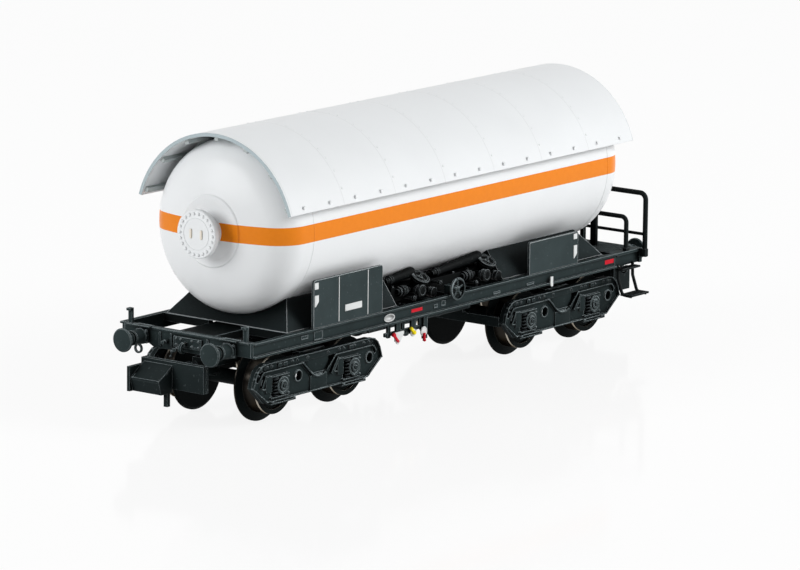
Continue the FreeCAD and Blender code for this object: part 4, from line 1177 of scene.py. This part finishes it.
for axle in (-half_base, half_base):
    frames.append(closed(block((axle - 2.5, -6.84, 3.45), (axle - 1.55, -6.6, 5.1), 0.05)))
    frames.append(bar((axle - 2.66, 5.12), (axle - 3.16, 4.2), -7.02, flange_back, 0.24))
    frames.append(closed(block((axle - 1.7, -6.95, 4.88), (axle + 1.0, -6.6, 5.04), 0.04)))
    frames.append(closed(block((axle - 1.75, -6.92, 2.78), (axle + 0.95, -6.6, 2.92), 0.04)))
    for side in (-1, 1):
        hole_x, lip_y = axle + side * hole_reach, side_face - 0.04
        frames.append(bow((hole_x, lip_y, hole_z), (hole_x, lip_y, hole_z + hole_radius + 0.04),
                          (0.16, 0.11), 360, FAR, 28))
frames.append(bolts([(x, side_face - 0.12, 6.02)
                     for x in (-7.9, -7.2, -4.0, -3.2, -1.6, 1.6, 3.4, 4.1, 5.8, 7.3, 8.1)],
                    NEAR, 0.24, 0.13))
frames += [closed(block((x - 0.3, -7.0, 5.84), (x + 0.3, -6.6, 6.2), 0.05)) for x in (-6.1, -5.3, 5.1)]
on_bogies(frames, "pressed_side_frames", gear_plastic, "bogie_sides")

# The bolster's rounded end bulges in the recess, over a nest of springs.
bulge_low, bulge_high = Vector((-1.75, -6.48, 3.9)), Vector((2.05, -5.0, 6.3))
bulge = begin(bpy.ops.mesh.primitive_cube_add, size=1.0,
              location=(bulge_low + bulge_high) / 2 * MM, stretch=(bulge_high - bulge_low) * MM)
pick(bulge, "EDGE", lambda middle, run: abs(run.y) > 0.9 and middle.z < 4.0)
bpy.ops.mesh.bevel(offset=1.25 * MM, segments=7, affect="EDGES")
pick(bulge, "FACE", lambda middle, normal: normal.y < -0.9)
bpy.ops.mesh.inset(thickness=0.25 * MM, depth=0.12 * MM)
bpy.ops.mesh.inset(thickness=0.3 * MM, depth=0.06 * MM)
on_bogies([closed(bulge), closed(block((-1.9, -6.0, 5.9), (2.1, -5.5, 6.5), 0.08))],
          "bolster_ends", gear_plastic)
for end in pivots:
    dress("bogie_frame_" + end, gear_plastic)

# Coil springs stand in the pockets; each is a wire wound round an upright, with end seats.
# Like every moulded finish, it takes painted shade in hollows and a painted highlight on edges.
spring_black = moulded("spring_black", (0.009, 0.011, 0.012), (0.16, 0.19, 0.20), 0.42, 0.06)
coil_turns, coil_height = 5, 1.7
springs = []
for axle in (-half_base, half_base):
    coil = begin(bpy.ops.mesh.primitive_circle_add, vertices=8, radius=0.1 * MM,
                 location=point(0.36, 0, 0), rotation=(math.radians(90), 0, 0))
    bpy.ops.object.mode_set(mode="OBJECT")
    wind = coil.modifiers.new("winding", "SCREW")
    wind.angle = math.tau * coil_turns
    wind.screw_offset = coil_height * MM
    wind.steps = 80
    wind.render_steps = 80
    wind.use_merge_vertices = True
    bpy.ops.object.modifier_apply(modifier=wind.name)
    bpy.ops.object.mode_set(mode="EDIT")
    bpy.ops.mesh.select_all(action="SELECT")
    bpy.ops.mesh.fill_holes(sides=8)
    coil = closed(coil)
    coil.data.transform(Matrix.Translation(point(axle - 0.82, -6.52, 3.05)))
    springs.append(coil)
    springs += [turned((axle - 0.82, -6.5, z), UP, ((0, 0.44), (0.06, 0.46), (0.1, 0.4)), 20)
                for z in (2.98, 4.76)]
on_bogies(springs, "axle_springs", spring_black)

# Axle boxes: a rounded casting with a stepped cap held by four bolts, on each journal's end.
cap_z = 3.92
boxes = []
for axle in (-half_base, half_base):
    boxes.append(closed(block((axle - 0.3, -7.0, 2.98), (axle + 0.95, -6.6, 4.84), 0.14, segments=3)))
    boxes.append(turned((axle, -6.6, cap_z), NEAR,
                        ((0, 0.88), (0.36, 0.88), (0.42, 0.82), (0.42, 0.66), (0.35, 0.64),
                         (0.35, 0.52), (0.5, 0.5), (0.54, 0.45), (0.54, 0.3), (0.48, 0.28),
                         (0.48, 0.2), (0.62, 0.18), (0.66, 0.1)), 36))
    boxes.append(bolts([(axle + dx, -6.98, cap_z + dz) for dx in (-0.12, 0.78) for dz in (-0.8, 0.8)],
                       NEAR, 0.17, 0.1))
on_bogies(boxes, "capped_axle_boxes", gear_plastic, "axle_boxes")


# ---------------------------------------------------------------- wheelsets
# Each wheelset is two turned metal tyres on dark plastic discs and one axle. The tyres are
# darkened, darker still as painted shade under the frame, with fine tool marks, and polished
# where they run on the rail, where the brightness is partly a painted highlight.
rim_radius, polished_y, disc_y = 2.46, 5.7, 5.44


def tyre(name, centre_x, centre_z):
    """A tyre's metal outside its rim and the disc's plastic inside it, about a wheel's centre."""
    finish = Finish(name, {"Specular IOR Level": 0.04, "Specular Tint": tint(0.30, 0.27, 0.23)})
    centred = finish.node("ShaderNodeMapping", None,
                          {"Vector": finish.where, "Location": (-centre_x * MM, 0, -centre_z * MM)})
    flat = finish.node("ShaderNodeVectorMath", {"operation": "MULTIPLY"},
                       {0: centred, 1: (1.0, 0.0, 1.0)})
    radius = finish.node("ShaderNodeVectorMath", {"operation": "LENGTH"}, {0: flat}, "Value")
    facing = finish.node("ShaderNodeNewGeometry", output="Normal")
    sideways = finish.node("ShaderNodeSeparateXYZ", None, {0: facing}, 1)
    turned_face = sideways * sideways < 0.55
    metal = (radius > rim_radius * MM) * turned_face
    across_track = finish.axes()[1]
    polished = (across_track * across_track > (polished_y * MM) ** 2) * metal
    cloud = finish.noise(700.0, 3.0)
    marks = radius.join("PINGPONG", radius, 0.03 * MM) * 20000.0
    corner, rounded = finish.edges(0.08, 1.6)
    # The metal is darker than its own blackening as painted shade; the polished band is partly a
    # painted highlight.
    shaded_steel = finish.mix(cloud, tint(0.012, 0.011, 0.010), tint(0.040, 0.036, 0.030))
    polished_glint = finish.mix(cloud, tint(0.30, 0.26, 0.20), tint(0.55, 0.52, 0.46))
    shaded_steel = finish.mix(polished, shaded_steel, polished_glint)
    # Inside the rim the wheel is the bogie plastic darkened as painted shade, paler at its edges.
    shaded_disc = finish.mix(corner, tint(*gear_grey, 0.25), tint(0.10, 0.10, 0.095))
    finish.feed("Base Color", finish.mix(metal, shaded_disc, shaded_steel))
    finish.feed("Metallic", metal * 0.95)
    finish.feed("Roughness", 0.5 - metal * 0.22 + cloud * 0.12)
    finish.relief(marks * metal * 0.3 + cloud * 0.4, 0.004, rounded)
    return finish.material


for end in pivots:
    for place in ("outer", "inner"):
        node = f"wheelset_{end}_{place}"
        low, high = limits(node)
        middle_x, middle_z = (low.x + high.x) / 2, (low.z + high.z) / 2
        dress(node, tyre(f"tyre_{end}_{place}", middle_x, middle_z))
        discs = [turned((middle_x, side * disc_y, middle_z), (0, side, 0),
                        ((0, 2.4), (0.1, 2.36), (0.14, 2.1), (0.06, 1.3), (0.2, 1.1), (0.44, 1.0),
                         (0.47, 0.6)), 48) for side in (-1, 1)]
        fit(merged(discs), f"wheel_discs_{end}_{place}", gear_plastic, node)


# ---------------------------------------------------------------- couplers
# Box-shaped hook couplers moulded in the running gear's plastic, clipped under each bogie's
# tongue, with a rim round the box and two ribs down to the beak.
# Its pale edge colour is mostly a painted highlight, and its hollows take painted shade.
coupler_black = moulded("coupler_black", (0.0125, 0.0180, 0.0188), (0.46, 0.53, 0.55), 0.5, 0.055)
box_x, beak_x = -33.85, -36.45
rim_y, rim_low, rim_top = 3.9, 3.95, 6.66
shoulder_point, beak_point = (box_x - 0.1, 6.28), (beak_x, 5.02)
for end in pivots:
    dress("coupler_" + end, coupler_black)
    detail = merged([
        closed(block((box_x + 0.1, -0.75, 5.5), (box_x + 1.5, 0.75, 6.25), 0.1)),
        closed(block((box_x - 0.12, -rim_y, 6.4), (box_x + 0.12, rim_y, rim_top), 0.05)),
        closed(block((box_x - 0.09, -rim_y, rim_low), (box_x + 0.1, rim_y, 4.38), 0.04)),
        closed(block((box_x - 0.14, -rim_y, rim_low), (box_x + 0.12, -3.76, rim_top), 0.04)),
        closed(block((box_x - 0.14, 3.5, 4.6), (box_x + 0.12, rim_y, rim_top), 0.04)),
        bar(shoulder_point, beak_point, -0.03, 0.14, 0.16),
        bar(shoulder_point, beak_point, 3.3, 3.45, 0.14),
        closed(block((beak_x - 0.06, 0.0, 4.86), (beak_x + 0.14, 3.4, 5.06), 0.04)),
        turned((box_x + 1.3, 0, 5.9), REAR,
               ((0, 0.3), (0.1, 0.42), (0.7, 0.42), (0.8, 0.3), (1.5, 0.3)), 16)])
    if end == "rear":
        detail.data.transform(HALF_TURN)
    fit(detail, "coupler_detail_" + end, coupler_black, "coupler_" + end)
